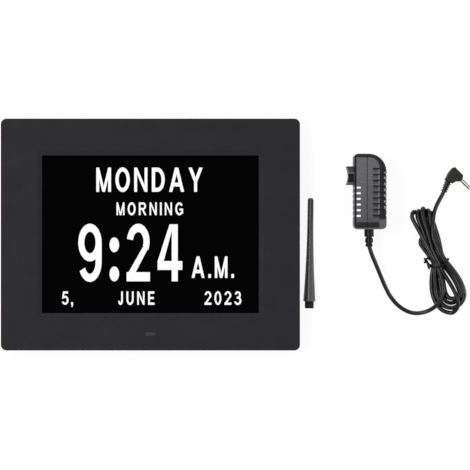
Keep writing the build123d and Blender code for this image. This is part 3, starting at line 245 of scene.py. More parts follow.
route = [Vector((cord_exit.x + x, cord_exit.y + y, z)) for x, y, z in lead_route]
for upper, lower in zip(upper_folds, lower_folds):
    rise, tip, half_width, tip_heights, fall, bow = upper
    up = waist_strand(*rise)
    down = waist_strand(*fall)
    route += up if lower is not lower_folds[0] else up[1:]
    route += upper_loop(up[2], down[2], tip, half_width, tip_heights, bow) + down[::-1]
    if lower is not lower_folds[-1]:
        route += lower_loop(down[0], *lower)
out = waist_strand(*last_rise)
route += lower_loop(out[0], *lower_folds[-1])[::-1] + out
route += [Vector((cord_exit.x + x, cord_exit.y + y, z)) for x, y, z in tail_route]
heading = Vector((math.cos(plug_heading), math.sin(plug_heading), 0.0))
route.append(plug_rear + heading * inside_plug)

cord_curve = bpy.data.curves.new("dc_cord", "CURVE")
cord_curve.dimensions = "3D"
cord_curve.bevel_depth = 1.0
cord_curve.bevel_resolution = 5
cord_curve.resolution_u = 8
cord_curve.use_fill_caps = True
spline = cord_curve.splines.new("NURBS")
spline.points.add(len(route) - 1)
# The thickness is set at each point, because the curve's own box grows by that value.
for point, place in zip(spline.points, route):
    point.co = (place.x * MM, place.y * MM, place.z * MM, 1.0)
    point.radius = cord_diameter / 2 * MM
spline.order_u = 3
spline.use_endpoint_u = True
cord = bpy.data.objects.new("dc_cord", cord_curve)
scene.collection.objects.link(cord)
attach(cord, "adapter")
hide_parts("dc_cord_lead", "dc_cord_hank", "dc_cord_tail")


def speck_texture(tree, size, detail=2.0, roughness=0.6):
    """A fine noise whose lumps are about size millimetres across, in the part's own coordinates."""
    place = add_node(tree, "ShaderNodeTexCoord")
    return add_node(tree, "ShaderNodeTexNoise", {"Scale": 1.0 / (size * MM), "Detail": detail, "Roughness": roughness},
                    {"Vector": place.outputs["Object"]})


def moulded(name, dark, light, grain, depth, roughness, specular=0.5, coat=0.0):
    """A moulded plastic or rubber: two close shades, a surface grain in millimetres, and a sheen that varies."""
    material, tree = new_material(name)
    fine = speck_texture(tree, grain)
    broad = speck_texture(tree, 22.0, 3.0)
    blend_share = add_node(tree, "ShaderNodeMapRange", {"From Min": 0.3, "From Max": 0.7}, {"Value": fine.outputs["Fac"]})
    shade = add_node(tree, "ShaderNodeMix", {"data_type": "RGBA", 6: colour(dark), 7: colour(light)},
                     {0: blend_share.outputs[0]})
    sheen = add_node(tree, "ShaderNodeMapRange",
                     {"From Min": 0.3, "From Max": 0.7, "To Min": roughness - 0.05, "To Max": roughness + 0.05},
                     {"Value": broad.outputs["Fac"]})
    bump = add_node(tree, "ShaderNodeBump", {"Strength": 0.6, "Distance": depth * MM}, {"Height": fine.outputs["Fac"]})
    skin = add_node(tree, "ShaderNodeBsdfPrincipled",
                    {"IOR": 1.49, "Specular IOR Level": specular, "Coat Weight": coat, "Coat Roughness": 0.1},
                    {"Base Color": shade.outputs[2], "Roughness": sheen.outputs[0], "Normal": bump.outputs[0]})
    add_node(tree, "ShaderNodeOutputMaterial", None, {"Surface": skin.outputs[0]})
    return material


def metal(name, dark, light, grain, stretch, depth, roughness):
    """A metal: its two shades and a grain in millimetres, drawn out along each axis by the stretch."""
    material, tree = new_material(name)
    place = add_node(tree, "ShaderNodeTexCoord")
    drawn = add_node(tree, "ShaderNodeMapping", {"Scale": [1.0 / value for value in stretch]},
                     {"Vector": place.outputs["Object"]})
    lines = add_node(tree, "ShaderNodeTexNoise", {"Scale": 1.0 / (grain * MM), "Detail": 3.0},
                     {"Vector": drawn.outputs[0]})
    shade = add_node(tree, "ShaderNodeMix", {"data_type": "RGBA", 6: colour(dark), 7: colour(light)},
                     {0: lines.outputs["Fac"]})
    sheen = add_node(tree, "ShaderNodeMapRange", {"To Min": roughness - 0.06, "To Max": roughness + 0.08},
                     {"Value": lines.outputs["Fac"]})
    bump = add_node(tree, "ShaderNodeBump", {"Strength": 0.4, "Distance": depth * MM}, {"Height": lines.outputs["Fac"]})
    skin = add_node(tree, "ShaderNodeBsdfPrincipled", {"Metallic": 1.0},
                    {"Base Color": shade.outputs[2], "Roughness": sheen.outputs[0], "Normal": bump.outputs[0]})
    add_node(tree, "ShaderNodeOutputMaterial", None, {"Surface": skin.outputs[0]})
    return material


def dress(material, *names):
    """Puts a finish on carried-over nodes, or on pieces made here."""
    for name in names:
        piece = nodes[name] if isinstance(name, str) else name
        if piece.material_slots:
            for place in piece.material_slots:
                place.material = material
        else:
            piece.data.materials.append(material)


# Flexible PVC, extruded: near black, a little waxy, with a very fine pull along it.
extruded_pvc = moulded("extruded_soft_pvc", "050504", "0e0e0c", 0.9, 0.006, 0.33, 0.5)
dress(extruded_pvc, cord)

# ---------------------------------------------------------------------------------------
# Cord tie. A soft iron wire in a thin black plastic skin, bent once round the hank's waist
# and twisted together at its left side, with both ends left sticking out.
# ---------------------------------------------------------------------------------------
tie_thickness = 1.6
tie_route = [(206.2, -18.0, 2.6), (207.4, -19.0, 3.0), (208.5, -20.4, 3.8), (209.2, -22.4, 6.4), (210.8, -24.4, 9.4),
             (213.4, -25.2, 11.0), (216.4, -24.6, 11.7), (219.2, -23.2, 11.8), (221.8, -21.0, 11.0),
             (224.2, -18.7, 7.6), (224.3, -18.2, 3.2), (222.6, -19.2, 0.9), (218.5, -21.5, 0.8), (213.0, -23.5, 0.8),
             (209.4, -22.6, 1.2), (208.2, -20.8, 2.4), (207.1, -20.6, 3.4), (206.0, -21.3, 3.4)]
tie_tail = [(208.2, -20.2, 2.6), (208.9, -22.2, 2.4), (209.4, -24.2, 1.6), (210.3, -25.9, 0.9)]
tie_twist = [(206.9, -19.9, 3.2), (207.5, -19.0, 3.8), (208.6, -17.6, 4.2), (209.6, -17.6, 4.4), (210.3, -19.4, 4.6)]
tie_curve = bpy.data.curves.new("cord_tie_wire", "CURVE")
tie_curve.dimensions = "3D"
tie_curve.bevel_depth = 1.0
tie_curve.bevel_resolution = 4
tie_curve.resolution_u = 8
tie_curve.use_fill_caps = True
for line in (tie_route, tie_tail, tie_twist):
    strand = tie_curve.splines.new("NURBS")
    strand.points.add(len(line) - 1)
    for point, place in zip(strand.points, line):
        point.co = (place[0] * MM, place[1] * MM, place[2] * MM, 1.0)
        point.radius = tie_thickness / 2 * MM
    strand.order_u = 3
    strand.use_endpoint_u = True
tie = bpy.data.objects.new("cord_tie_wire", tie_curve)
scene.collection.objects.link(tie)
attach(tie, "adapter")
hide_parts("cord_tie")
tie_skin = moulded("tie_plastic_skin", "040404", "0a0a0a", 0.5, 0.03, 0.4, 0.2)
dress(tie_skin, tie)

# ---------------------------------------------------------------------------------------
# Casing. Two ABS shells, injection moulded in a spark-eroded tool, so the skin is a fine
# matt grain. The bezel drops over the rear cover and four long screws hold them together.
# ---------------------------------------------------------------------------------------
bezel_abs = moulded("spark_eroded_black_abs_bezel", "17171a", "212124", 0.55, 0.035, 0.62, 0.22)
cover_abs = moulded("spark_eroded_black_abs_cover", "161618", "212124", 0.7, 0.05, 0.66, 0.3)
dress(bezel_abs, "front_bezel")
dress(cover_abs, "rear_cover")

black_zinc = metal("black_zinc_steel", "2a2a2c", "45454a", 0.35, (1, 1, 1), 0.02, 0.36)
dress(black_zinc, "case_screws", "small_screws")

# ---------------------------------------------------------------------------------------
# Stand socket. A turned brass insert with an M6 thread, moulded into a boss of the cover.
# ---------------------------------------------------------------------------------------
turned_brass = metal("turned_brass", "a8853f", "d2b066", 0.25, (1, 1, 6), 0.02, 0.28)
dress(turned_brass, "stand_socket", "plug_contacts", "dc_plug_contact")

# ---------------------------------------------------------------------------------------
# Screen. A glass sandwich in a pressed steel frame, lit by a light guide and a strip of
# LEDs. The front polariser is a hard, smooth, nearly black film.
# ---------------------------------------------------------------------------------------
polariser, tree = new_material("black_polariser_on_glass")
smear = speck_texture(tree, 30.0)
gloss = add_node(tree, "ShaderNodeMapRange", {"To Min": 0.04, "To Max": 0.08}, {"Value": smear.outputs["Fac"]})
tint = add_node(tree, "ShaderNodeMix", {"data_type": "RGBA", 6: colour("000000"), 7: colour("020202")},
                {0: smear.outputs["Fac"]})
skin = add_node(tree, "ShaderNodeBsdfPrincipled", {"IOR": 1.5, "Specular IOR Level": 0.03},
                {"Base Color": tint.outputs[2], "Roughness": gloss.outputs[0]})
add_node(tree, "ShaderNodeOutputMaterial", None, {"Surface": skin.outputs[0]})
dress(polariser, "lcd_glass")

diffuser_film = moulded("milky_pet_film", "e2e2e0", "f0f0ee", 0.4, 0.01, 0.55)
dress(diffuser_film, "diffuser_sheet")

clear_acrylic, tree = new_material("cast_clear_acrylic")
dots = speck_texture(tree, 1.6)
frost = add_node(tree, "ShaderNodeMapRange", {"To Min": 0.04, "To Max": 0.12}, {"Value": dots.outputs["Fac"]})
skin = add_node(tree, "ShaderNodeBsdfPrincipled",
                {"Base Color": colour("eef2f4"), "IOR": 1.49, "Transmission Weight": 0.9},
                {"Roughness": frost.outputs[0]})
add_node(tree, "ShaderNodeOutputMaterial", None, {"Surface": skin.outputs[0]})
dress(clear_acrylic, "light_guide")

zinc_sheet = metal("zinc_plated_sheet_steel", "9a9ca0", "c6c8cb", 0.8, (8, 1, 1), 0.02, 0.38)
dress(zinc_sheet, "lcd_frame", "speaker_frame")


# Readout. The lit words and numbers are the screen's own image, a hair above the polariser.
light_white, tree = new_material("lit_white_pixels")
pixel = speck_texture(tree, 0.26, 0.0)
level = add_node(tree, "ShaderNodeMapRange", {"To Min": 0.96, "To Max": 1.04}, {"Value": pixel.outputs["Fac"]})
glow = add_node(tree, "ShaderNodeEmission", {"Color": colour("ffffff")}, {"Strength": level.outputs[0]})
add_node(tree, "ShaderNodeOutputMaterial", None, {"Surface": glow.outputs[0]})

glass_face = 22.4
readout_lift = 0.03
STEM, CROSS = 0.215, 0.17


def bar(x0, y0, x1, y1):
    return [(x0, y0), (x1, y0), (x1, y1), (x0, y1)]


def arch(x, y, rx, ry, start, end, stem=STEM, cross=CROSS):
    """A stroke along an ellipse, its ends at two angles in degrees, as one closed outline."""
    steps = max(6, int(abs(end - start) / 9))
    turns = [math.radians(start + (end - start) * k / steps) for k in range(steps + 1)]
    outer = [(x + rx * math.cos(t), y + ry * math.sin(t)) for t in turns]
    inner = [(x + (rx - stem) * math.cos(t), y + (ry - cross) * math.sin(t)) for t in turns]
    return outer + inner[::-1]


# The strokes of each character, in heights of a capital, drawn as a plain bold grotesque.
# An entry gives the character's width and its strokes.
strokes = {
    "M": (0.98, [bar(0, 0, 0.19, 1), bar(0.79, 0, 0.98, 1), [(0.19, 1), (0.02, 1), (0.40, 0), (0.49, 0), (0.49, 0.22)],
                 [(0.79, 1), (0.96, 1), (0.58, 0), (0.49, 0), (0.49, 0.22)]]),
    "O": (0.96, [arch(0.48, 0.5, 0.48, 0.51, 0, 360)]),
    "N": (0.88, [bar(0, 0, 0.19, 1), bar(0.69, 0, 0.88, 1), [(0.19, 1), (0.0, 1), (0.69, 0), (0.88, 0)]]),
    "D": (0.86, [bar(0, 0, STEM, 1), bar(STEM, 1 - CROSS, 0.38, 1), bar(STEM, 0, 0.38, CROSS),
                 arch(0.38, 0.5, 0.48, 0.5, -90, 90)]),
    "A": (1.0, [[(0.39, 1), (0.61, 1), (0.21, 0), (0.0, 0)], [(0.39, 1), (0.61, 1), (1.0, 0), (0.79, 0)],
                bar(0.24, 0.22, 0.76, 0.38)]),
    "Y": (0.94, [[(0, 1), (0.23, 1), (0.57, 0.42), (0.37, 0.40)], [(0.94, 1), (0.71, 1), (0.37, 0.42), (0.57, 0.40)],
                 bar(0.37, 0, 0.57, 0.42)]),
    "R": (0.92, [bar(0, 0, STEM, 1), bar(STEM, 1 - CROSS, 0.55, 1), bar(STEM, 0.42, 0.55, 0.57),
                 arch(0.55, 0.71, 0.33, 0.29, -90, 90, STEM, 0.155), [(0.36, 0.44), (0.58, 0.44), (0.94, 0), (0.70, 0)]]),
    "I": (0.2, [bar(0, 0, STEM, 1)]),
    "G": (0.98, [arch(0.5, 0.5, 0.49, 0.51, 36, 318), bar(0.52, 0.36, 0.96, 0.52), bar(0.78, 0.12, 0.96, 0.4)]),
    "J": (0.56, [bar(0.36, 0.28, 0.56, 1), arch(0.28, 0.29, 0.28, 0.30, 180, 360)]),
    "U": (0.86, [bar(0, 0.38, STEM, 1), bar(0.66, 0.38, 0.86, 1), arch(0.43, 0.39, 0.43, 0.40, 180, 360)]),
    "E": (0.76, [bar(0, 0, STEM, 1), bar(STEM, 1 - CROSS, 0.74, 1), bar(STEM, 0.43, 0.69, 0.585),
                 bar(STEM, 0, 0.76, CROSS)]),
    "9": (0.66, [arch(0.33, 0.68, 0.33, 0.33, 0, 360, 0.17, 0.14), bar(0.49, 0.33, 0.66, 0.68),
                 arch(0.33, 0.34, 0.33, 0.35, -152, 0, 0.17, 0.14)]),
    "2": (0.66, [arch(0.33, 0.7, 0.32, 0.31, -30, 172, 0.17, 0.145), [(0.46, 0.60), (0.64, 0.62), (0.25, 0.15), (0.0, 0.10)],
                 bar(0, 0, 0.66, 0.16)]),
    "4": (0.7, [bar(0.40, 0, 0.57, 1), bar(0, 0.2, 0.7, 0.355), [(0.34, 1), (0.45, 1), (0.17, 0.35), (0.0, 0.35)]]),
    "5": (0.66, [bar(0.13, 0.84, 0.61, 1), [(0.13, 1), (0.28, 1), (0.20, 0.47), (0.04, 0.45)],
                 arch(0.33, 0.33, 0.33, 0.34, -158, 142, 0.17, 0.145)]),
    "0": (0.66, [arch(0.33, 0.5, 0.33, 0.51, 0, 360, 0.17, 0.14)]),
    "3": (0.66, [arch(0.32, 0.73, 0.29, 0.28, -84, 168, 0.165, 0.14), arch(0.32, 0.30, 0.34, 0.31, -168, 90, 0.17, 0.145),
                 bar(0.22, 0.465, 0.36, 0.605)]),
    ".": (0.2, [bar(0, 0, 0.2, 0.18)]),
    ",": (0.2, [bar(0, 0, 0.2, 0.18), [(0.09, 0), (0.2, 0), (0.13, -0.19), (0.02, -0.16)]]),
    ":": (0.36, [arch(0.18, 0.13, 0.18, 0.13, 0, 360, 0.17, 0.12), arch(0.18, 0.64, 0.18, 0.13, 0, 360, 0.17, 0.12),
                 bar(0.02, 0.11, 0.34, 0.15), bar(0.02, 0.62, 0.34, 0.66)]),
}


def lit_text(name, words, left, base, tall, narrowing, gap):
    """A word of the readout: its strokes are filled, scaled to its height and set on the glass."""
    corners, faces, reach = [], [], left
    for letter in words:
        width, shapes = strokes[letter]
        for outline in shapes:
            first = len(corners)
            corners += [((reach + x * tall * narrowing) * MM, (base + y * tall) * MM, 0.0) for x, y in outline]
            half = len(outline) // 2
            if len(outline) > 5:
                faces += [(first + k, first + k + 1, first + len(outline) - 2 - k, first + len(outline) - 1 - k)
                          for k in range(half - 1)]
            else:
                faces.append(tuple(range(first, first + len(outline))))
        reach += (width * tall * narrowing) + gap
    sheet = bpy.data.meshes.new(name)
    sheet.from_pydata(corners, [], faces)
    made = bpy.data.objects.new(name, sheet)
    scene.collection.objects.link(made)
    deselect()
    made.select_set(True)
    bpy.context.view_layer.objects.active = made
    bpy.ops.object.mode_set(mode="EDIT")
    bpy.ops.mesh.select_all(action="SELECT")
    bpy.ops.mesh.remove_doubles(threshold=0.001 * MM)
    bpy.ops.mesh.normals_make_consistent(inside=False)
    bpy.ops.transform.translate(value=(0, 0, (glass_face + readout_lift) * MM))
    bpy.ops.object.mode_set(mode="OBJECT")
    if sheet.polygons[0].normal.z < 0:
        sheet.flip_normals()
    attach(made, "clock")
    dress(light_white, made)
    return made


# name, words, left edge, base line and height on the glass, narrowing, gap between characters
lit_words = [
    ("readout_day", "MONDAY", -40.56, 32.02, 18.13, 0.62, 3.3),
    ("readout_part_of_day", "MORNING", -25.43, 14.49, 9.59, 0.64, 2.4),
    ("readout_hour", "9", -54.05, -35.03, 42.7, 0.62, 0.0),
    ("readout_colon", ":", -30.6, -35.03, 42.7, 0.46, 0.0),
    ("readout_minute_tens", "2", -17.86, -35.03, 42.7, 0.62, 0.0),
    ("readout_minute_units", "4", 5.36, -35.03, 42.7, 0.62, 0.0),
    ("readout_half_of_day", "A.M.", 30.84, -32.48, 16.11, 0.6, 2.9),
    ("readout_date", "5,", -66.48, -52.48, 9.89, 0.78, 1.9),
    ("readout_month", "JUNE", -24.15, -52.63, 10.04, 0.62, 2.7),
    ("readout_year", "2023", 40.5, -52.63, 10.04, 0.78, 2.3),
]
for row in lit_words:
    lit_text(*row)

# ---------------------------------------------------------------------------------------
# Remote-control eye. A small pill of smoked acrylic pressed into the bezel from behind,
# over the infra-red receiver on its own board.
# ---------------------------------------------------------------------------------------
smoked_acrylic = moulded("smoked_acrylic", "353436", "3d3c3e", 2.0, 0.004, 0.14, 0.4)
dress(smoked_acrylic, "sensor_window")
moulded_resin = moulded("moulded_epoxy_resin", "161616", "232323", 0.3, 0.02, 0.5)
dress(moulded_resin, "ir_receiver", "processor_chip", "memory_chip", "coin_cell_holder", "dc_jack", "tact_switches")

# ---------------------------------------------------------------------------------------
# Buttons. Seven small ABS caps along the top of the back, each over its own tact switch.
# ---------------------------------------------------------------------------------------
button_abs = moulded("satin_button_abs", "232327", "2c2c31", 0.5, 0.015, 0.42)
dress(button_abs, "button_power", "button_menu", "button_left", "button_ok", "button_right", "button_up",
      "button_down")

# ---------------------------------------------------------------------------------------
# Circuit boards. Glass-epoxy laminate with copper tracks under a green solder mask.
# ---------------------------------------------------------------------------------------
track_pitch = 2.4
solder_mask, tree = new_material("green_solder_mask_laminate")
place = add_node(tree, "ShaderNodeTexCoord")
tracks = add_node(tree, "ShaderNodeTexBrick",
                  {"Scale": 1.0 / (track_pitch * MM), "Mortar Size": 0.1, "Brick Width": 6.0, "Row Height": 1.0,
                   "Color1": colour("0f4a26"), "Color2": colour("0d4222"), "Mortar": colour("1c6a38")},
                  {"Vector": place.outputs["Object"]})
bump = add_node(tree, "ShaderNodeBump", {"Strength": 0.5, "Distance": 0.035 * MM}, {"Height": tracks.outputs["Fac"]})
skin = add_node(tree, "ShaderNodeBsdfPrincipled", {"Roughness": 0.32, "IOR": 1.5},
                {"Base Color": tracks.outputs["Color"], "Normal": bump.outputs[0]})
add_node(tree, "ShaderNodeOutputMaterial", None, {"Surface": skin.outputs[0]})
dress(solder_mask, "main_board", "sensor_board", "button_board", "adapter_board")

white_mask = moulded("white_solder_mask_laminate", "dcdcd8", "ecece8", 0.5, 0.01, 0.4)
dress(white_mask, "led_strip")
natural_nylon = moulded("natural_nylon", "d6cfba", "e4ddc9", 0.6, 0.02, 0.45)
dress(natural_nylon, "board_connectors")
polyimide = moulded("amber_polyimide_film", "a86a1e", "b97a2a", 0.5, 0.005, 0.3)
dress(polyimide, "lcd_flex", "sensor_ribbon", "button_ribbon")
sleeved_can = metal("sleeved_aluminium_can", "8f9195", "c0c2c6", 0.5, (1, 1, 4), 0.01, 0.3)
dress(sleeved_can, "board_capacitors", "bulk_capacitor", "output_capacitor")
bright_steel = metal("bright_nickel_steel_cell", "b4b4b4", "d8d8d6", 0.3, (1, 1, 1), 0.005, 0.2)
dress(bright_steel, "coin_cell")

# ---------------------------------------------------------------------------------------
# Speaker. A pressed steel basket with a coated paper cone and a ferrite magnet, glued
# behind the grille of the rear cover. Its two leads run to the main board.
# ---------------------------------------------------------------------------------------
cone_paper = moulded("coated_cone_paper", "1c1b1a", "2e2c2a", 0.25, 0.06, 0.8)
dress(cone_paper, "speaker_cone")
ferrite = moulded("sintered_ferrite", "29292b", "3a3a3d", 0.2, 0.03, 0.7)
dress(ferrite, "speaker_magnet", "transformer_core")
dress(moulded("lead_pvc", "1a1314", "2a1d1e", 0.5, 0.02, 0.4), "speaker_leads")

# ---------------------------------------------------------------------------------------
# Stand leg. A tapered rod of satin black ABS over a steel core, with a threaded stud at
# its thick end that screws into the socket in the back.
# ---------------------------------------------------------------------------------------
leg_abs = moulded("satin_black_abs_leg", "3a3a3c", "444446", 0.45, 0.003, 0.38, 0.75)
dress(leg_abs, "leg_rod")

# Black-oxide steel: matt, with the thread's crests a little lighter than its roots.
thread_pitch = 1.0
black_oxide, tree = new_material("black_oxide_steel_thread")
place = add_node(tree, "ShaderNodeTexCoord")
thread = add_node(tree, "ShaderNodeTexWave",
                  {"wave_type": "BANDS", "bands_direction": "Y", "Scale": math.pi / 10 / (thread_pitch * MM)},
                  {"Vector": place.outputs["Object"]})
shade = add_node(tree, "ShaderNodeMix", {"data_type": "RGBA", 6: colour("141415"), 7: colour("3c3c3e")},
                 {0: thread.outputs["Fac"]})
bump = add_node(tree, "ShaderNodeBump", {"Strength": 0.6, "Distance": 0.3 * MM}, {"Height": thread.outputs["Fac"]})
skin = add_node(tree, "ShaderNodeBsdfPrincipled", {"Roughness": 0.55, "Metallic": 0.3, "Specular IOR Level": 0.3},
                {"Base Color": shade.outputs[2], "Normal": bump.outputs[0]})
add_node(tree, "ShaderNodeOutputMaterial", None, {"Surface": skin.outputs[0]})
dress(black_oxide, "leg_stud")

# ---------------------------------------------------------------------------------------
# Mains adapter. Two halves of black polycarbonate, welded round their seam, with cooling
# slots, finger grooves and a moulded nose for the plug head.
# ---------------------------------------------------------------------------------------
adapter_pc, tree = new_material("spark_eroded_black_polycarbonate")
fine = speck_texture(tree, 0.9)
share = add_node(tree, "ShaderNodeMapRange", {"From Min": 0.3, "From Max": 0.7}, {"Value": fine.outputs["Fac"]})
dark = add_node(tree, "ShaderNodeMix", {"data_type": "RGBA", 6: colour("161617"), 7: colour("262628")},
                {0: share.outputs[0]})
# The broad face is etched coarser than the rest, so it scatters light and looks grey. Its grey
# is painted darker towards the lower right, a painted fall-off of the light across the face.
panel_left, panel_low, panel_face = 153.1, 9.2, 37.9
panel_corner, panel_corner_radius, panel_fade = (163.6, 50.1), 7.3, 0.35
place = add_node(tree, "ShaderNodeTexCoord")
axes = add_node(tree, "ShaderNodeSeparateXYZ", None, {0: place.outputs["Object"]})
lower_right = add_node(tree, "ShaderNodeVectorMath", {"operation": "DOT_PRODUCT", 1: (0.45, -0.55, 0.0)},
                       {0: place.outputs["Object"]})
# Painted shade: the face grows darker towards the lower right.
painted_falloff = add_node(tree, "ShaderNodeMapRange", {"From Min": 0.045, "From Max": 0.074},
                  {"Value": lower_right.outputs["Value"]})
coarse = add_node(tree, "ShaderNodeMix", {"data_type": "RGBA", 6: colour("565659"), 7: colour("404042")},
                  {0: painted_falloff.outputs[0]})
coarse_light = add_node(tree, "ShaderNodeMix", {"data_type": "RGBA", 6: colour("6e6e72"), 7: colour("565658")},
                        {0: painted_falloff.outputs[0]})
grey = add_node(tree, "ShaderNodeMix", {"data_type": "RGBA"},
                {0: share.outputs[0], 6: coarse.outputs[2], 7: coarse_light.outputs[2]})
from_corner = add_node(tree, "ShaderNodeVectorMath",
                       {"operation": "SUBTRACT", 1: (panel_corner[0] * MM, panel_corner[1] * MM, 1.0)},
                       {0: place.outputs["Object"]})
past_corner = add_node(tree, "ShaderNodeVectorMath", {"operation": "MAXIMUM", 1: (0.0, 0.0, 0.0)},
                       {0: from_corner.outputs[0]})
reach = add_node(tree, "ShaderNodeVectorMath", {"operation": "LENGTH"}, {0: past_corner.outputs[0]})
inside = add_node(tree, "ShaderNodeMapRange",
                  {"From Min": (panel_corner_radius + panel_fade) * MM, "From Max": (panel_corner_radius - panel_fade) * MM},
                  {"Value": reach.outputs["Value"]})
for axis, edge, fade in ((0, panel_left, panel_fade), (1, panel_low, panel_fade), (2, panel_face, 0.01)):
    step = add_node(tree, "ShaderNodeMapRange", {"From Min": (edge - fade) * MM, "From Max": (edge + fade) * MM},
                    {"Value": axes.outputs[axis]})
    inside = add_node(tree, "ShaderNodeMath", {"operation": "MULTIPLY"},
                      {0: inside.outputs[0], 1: step.outputs[0]})
shade = add_node(tree, "ShaderNodeMix", {"data_type": "RGBA"},
                 {0: inside.outputs[0], 6: dark.outputs[2], 7: grey.outputs[2]})
# Below each finger groove a shade is painted, dark at the groove and fading out towards the next one.
groove_top, groove_step, groove_start, groove_end = 49.18, 4.36, 166.2, 12.4
groove_place = add_node(tree, "ShaderNodeMath",
                       {"operation": "MULTIPLY_ADD", 1: -1.0 / (groove_step * MM), 2: groove_top / groove_step + 8.0},
                       {0: axes.outputs[1]})
groove_phase = add_node(tree, "ShaderNodeMath", {"operation": "FRACT"}, {0: groove_place.outputs[0]})
painted_groove_shade = add_node(tree, "ShaderNodeMapRange", {"From Min": 0.1, "From Max": 0.8, "To Min": 0.85, "To Max": 0.0},
                 {"Value": groove_phase.outputs[0]})
for axis, edge, fade in ((0, groove_start, 0.8), (1, groove_end, 0.2)):
    step = add_node(tree, "ShaderNodeMapRange", {"From Min": (edge - fade) * MM, "From Max": (edge + fade) * MM},
                    {"Value": axes.outputs[axis]})
    painted_groove_shade = add_node(tree, "ShaderNodeMath", {"operation": "MULTIPLY"}, {0: painted_groove_shade.outputs[0], 1: step.outputs[0]})
below_top = add_node(tree, "ShaderNodeMath", {"operation": "LESS_THAN", 1: (groove_top + 0.5) * MM},
                     {0: axes.outputs[1]})
painted_groove_shade = add_node(tree, "ShaderNodeMath", {"operation": "MULTIPLY"}, {0: painted_groove_shade.outputs[0], 1: below_top.outputs[0]})
shade = add_node(tree, "ShaderNodeMix", {"data_type": "RGBA", 7: colour("1a1a1b")},
                 {0: painted_groove_shade.outputs[0], 6: shade.outputs[2]})
# A highlight is painted along the face's outer edge, down to the last groove.
edge_line = panel_corner[0] + panel_corner_radius - 0.35
painted_edge_highlight = add_node(tree, "ShaderNodeMath", {"operation": "COMPARE", 1: edge_line * MM, 2: 0.28 * MM},
                {0: axes.outputs[0]})
for axis, edge, fade in ((1, panel_corner[1], -0.5), (1, 14.4, 0.3), (2, panel_face, 0.01)):
    step = add_node(tree, "ShaderNodeMapRange", {"From Min": (edge - fade) * MM, "From Max": (edge + fade) * MM},
                    {"Value": axes.outputs[axis]})
    painted_edge_highlight = add_node(tree, "ShaderNodeMath", {"operation": "MULTIPLY"}, {0: painted_edge_highlight.outputs[0], 1: step.outputs[0]})
shade = add_node(tree, "ShaderNodeMix", {"data_type": "RGBA", 7: colour("8a8a8c")},
                 {0: painted_edge_highlight.outputs[0], 6: shade.outputs[2]})
# Between the grooves small bright crescents are painted on the outer edge as highlights.
painted_crescent_highlight = add_node(tree, "ShaderNodeMath", {"operation": "COMPARE", 1: 0.62, 2: 0.2}, {0: groove_phase.outputs[0]})
for axis, edge, fade in ((0, 174.4, 0.3), (1, 17.0, 0.5), (1, 46.5, -0.5), (2, 36.4, 0.4)):
    step = add_node(tree, "ShaderNodeMapRange", {"From Min": (edge - fade) * MM, "From Max": (edge + fade) * MM},
                    {"Value": axes.outputs[axis]})
    painted_crescent_highlight = add_node(tree, "ShaderNodeMath", {"operation": "MULTIPLY"}, {0: painted_crescent_highlight.outputs[0], 1: step.outputs[0]})
shade = add_node(tree, "ShaderNodeMix", {"data_type": "RGBA", 7: colour("8e8e90")},
                 {0: painted_crescent_highlight.outputs[0], 6: shade.outputs[2]})
# The outer lower corner carries the same etch, below the finger grooves.
corner_left, corner_top = 170.9, 11.2
corner = None
for axis, edge, sign in ((0, corner_left, 1.0), (1, corner_top, -1.0), (2, panel_face - 3.0, 1.0)):
    step = add_node(tree, "ShaderNodeMapRange",
                    {"From Min": (edge - sign * 0.8) * MM, "From Max": (edge + sign * 0.8) * MM},
                    {"Value": axes.outputs[axis]})
    corner = step if corner is None else add_node(
        tree, "ShaderNodeMath", {"operation": "MULTIPLY"}, {0: corner.outputs[0], 1: step.outputs[0]})
shade = add_node(tree, "ShaderNodeMix", {"data_type": "RGBA", 7: colour("5c5c5e")},
                 {0: corner.outputs[0], 6: shade.outputs[2]})
# The rounded edge at the cord's end is painted lighter, a painted highlight along it.
rim_top = 5.0
painted_rim_highlight = add_node(tree, "ShaderNodeMapRange", {"From Min": (rim_top + 0.4) * MM, "From Max": (rim_top - 0.4) * MM},
               {"Value": axes.outputs[1]})
shade = add_node(tree, "ShaderNodeMix", {"data_type": "RGBA", 7: colour("6a6a6c")},
                 {0: painted_rim_highlight.outputs[0], 6: shade.outputs[2]})
bump = add_node(tree, "ShaderNodeBump", {"Strength": 0.6, "Distance": 0.04 * MM}, {"Height": fine.outputs["Fac"]})
skin = add_node(tree, "ShaderNodeBsdfPrincipled", {"Roughness": 0.42, "IOR": 1.49, "Specular IOR Level": 0.2},
                {"Base Color": shade.outputs[2], "Normal": bump.outputs[0]})
add_node(tree, "ShaderNodeOutputMaterial", None, {"Surface": skin.outputs[0]})
dress(adapter_pc, "adapter_base_shell", "adapter_cover_shell")

# Smoother polycarbonate with a soft sheen; the clip slots are painted black, a painted shade in them.
clip_low, clip_high, clip_face = 38.95, 45.4, 36.6
nose_pc, tree = new_material("smooth_black_polycarbonate_nose")
place = add_node(tree, "ShaderNodeTexCoord")
fine = add_node(tree, "ShaderNodeTexNoise", {"Scale": 1.0 / (0.6 * MM), "Detail": 2.0},
                {"Vector": place.outputs["Object"]})
shade = add_node(tree, "ShaderNodeMix", {"data_type": "RGBA", 6: colour("343436"), 7: colour("424244")},
                 {0: fine.outputs["Fac"]})
axes = add_node(tree, "ShaderNodeSeparateXYZ", None, {0: place.outputs["Object"]})
# Painted shade: inside the clip slots the colour is set to black.
clip = add_node(tree, "ShaderNodeMath",
                {"operation": "COMPARE", 1: (clip_low + clip_high) / 2 * MM, 2: (clip_high - clip_low) / 2 * MM},
                {0: axes.outputs[1]})
below = add_node(tree, "ShaderNodeMath", {"operation": "LESS_THAN", 1: clip_face * MM}, {0: axes.outputs[2]})
painted_clip_shade = add_node(tree, "ShaderNodeMath", {"operation": "MULTIPLY"}, {0: clip.outputs[0], 1: below.outputs[0]})
shade = add_node(tree, "ShaderNodeMix", {"data_type": "RGBA", 7: colour("010101")},
                 {0: painted_clip_shade.outputs[0], 6: shade.outputs[2]})
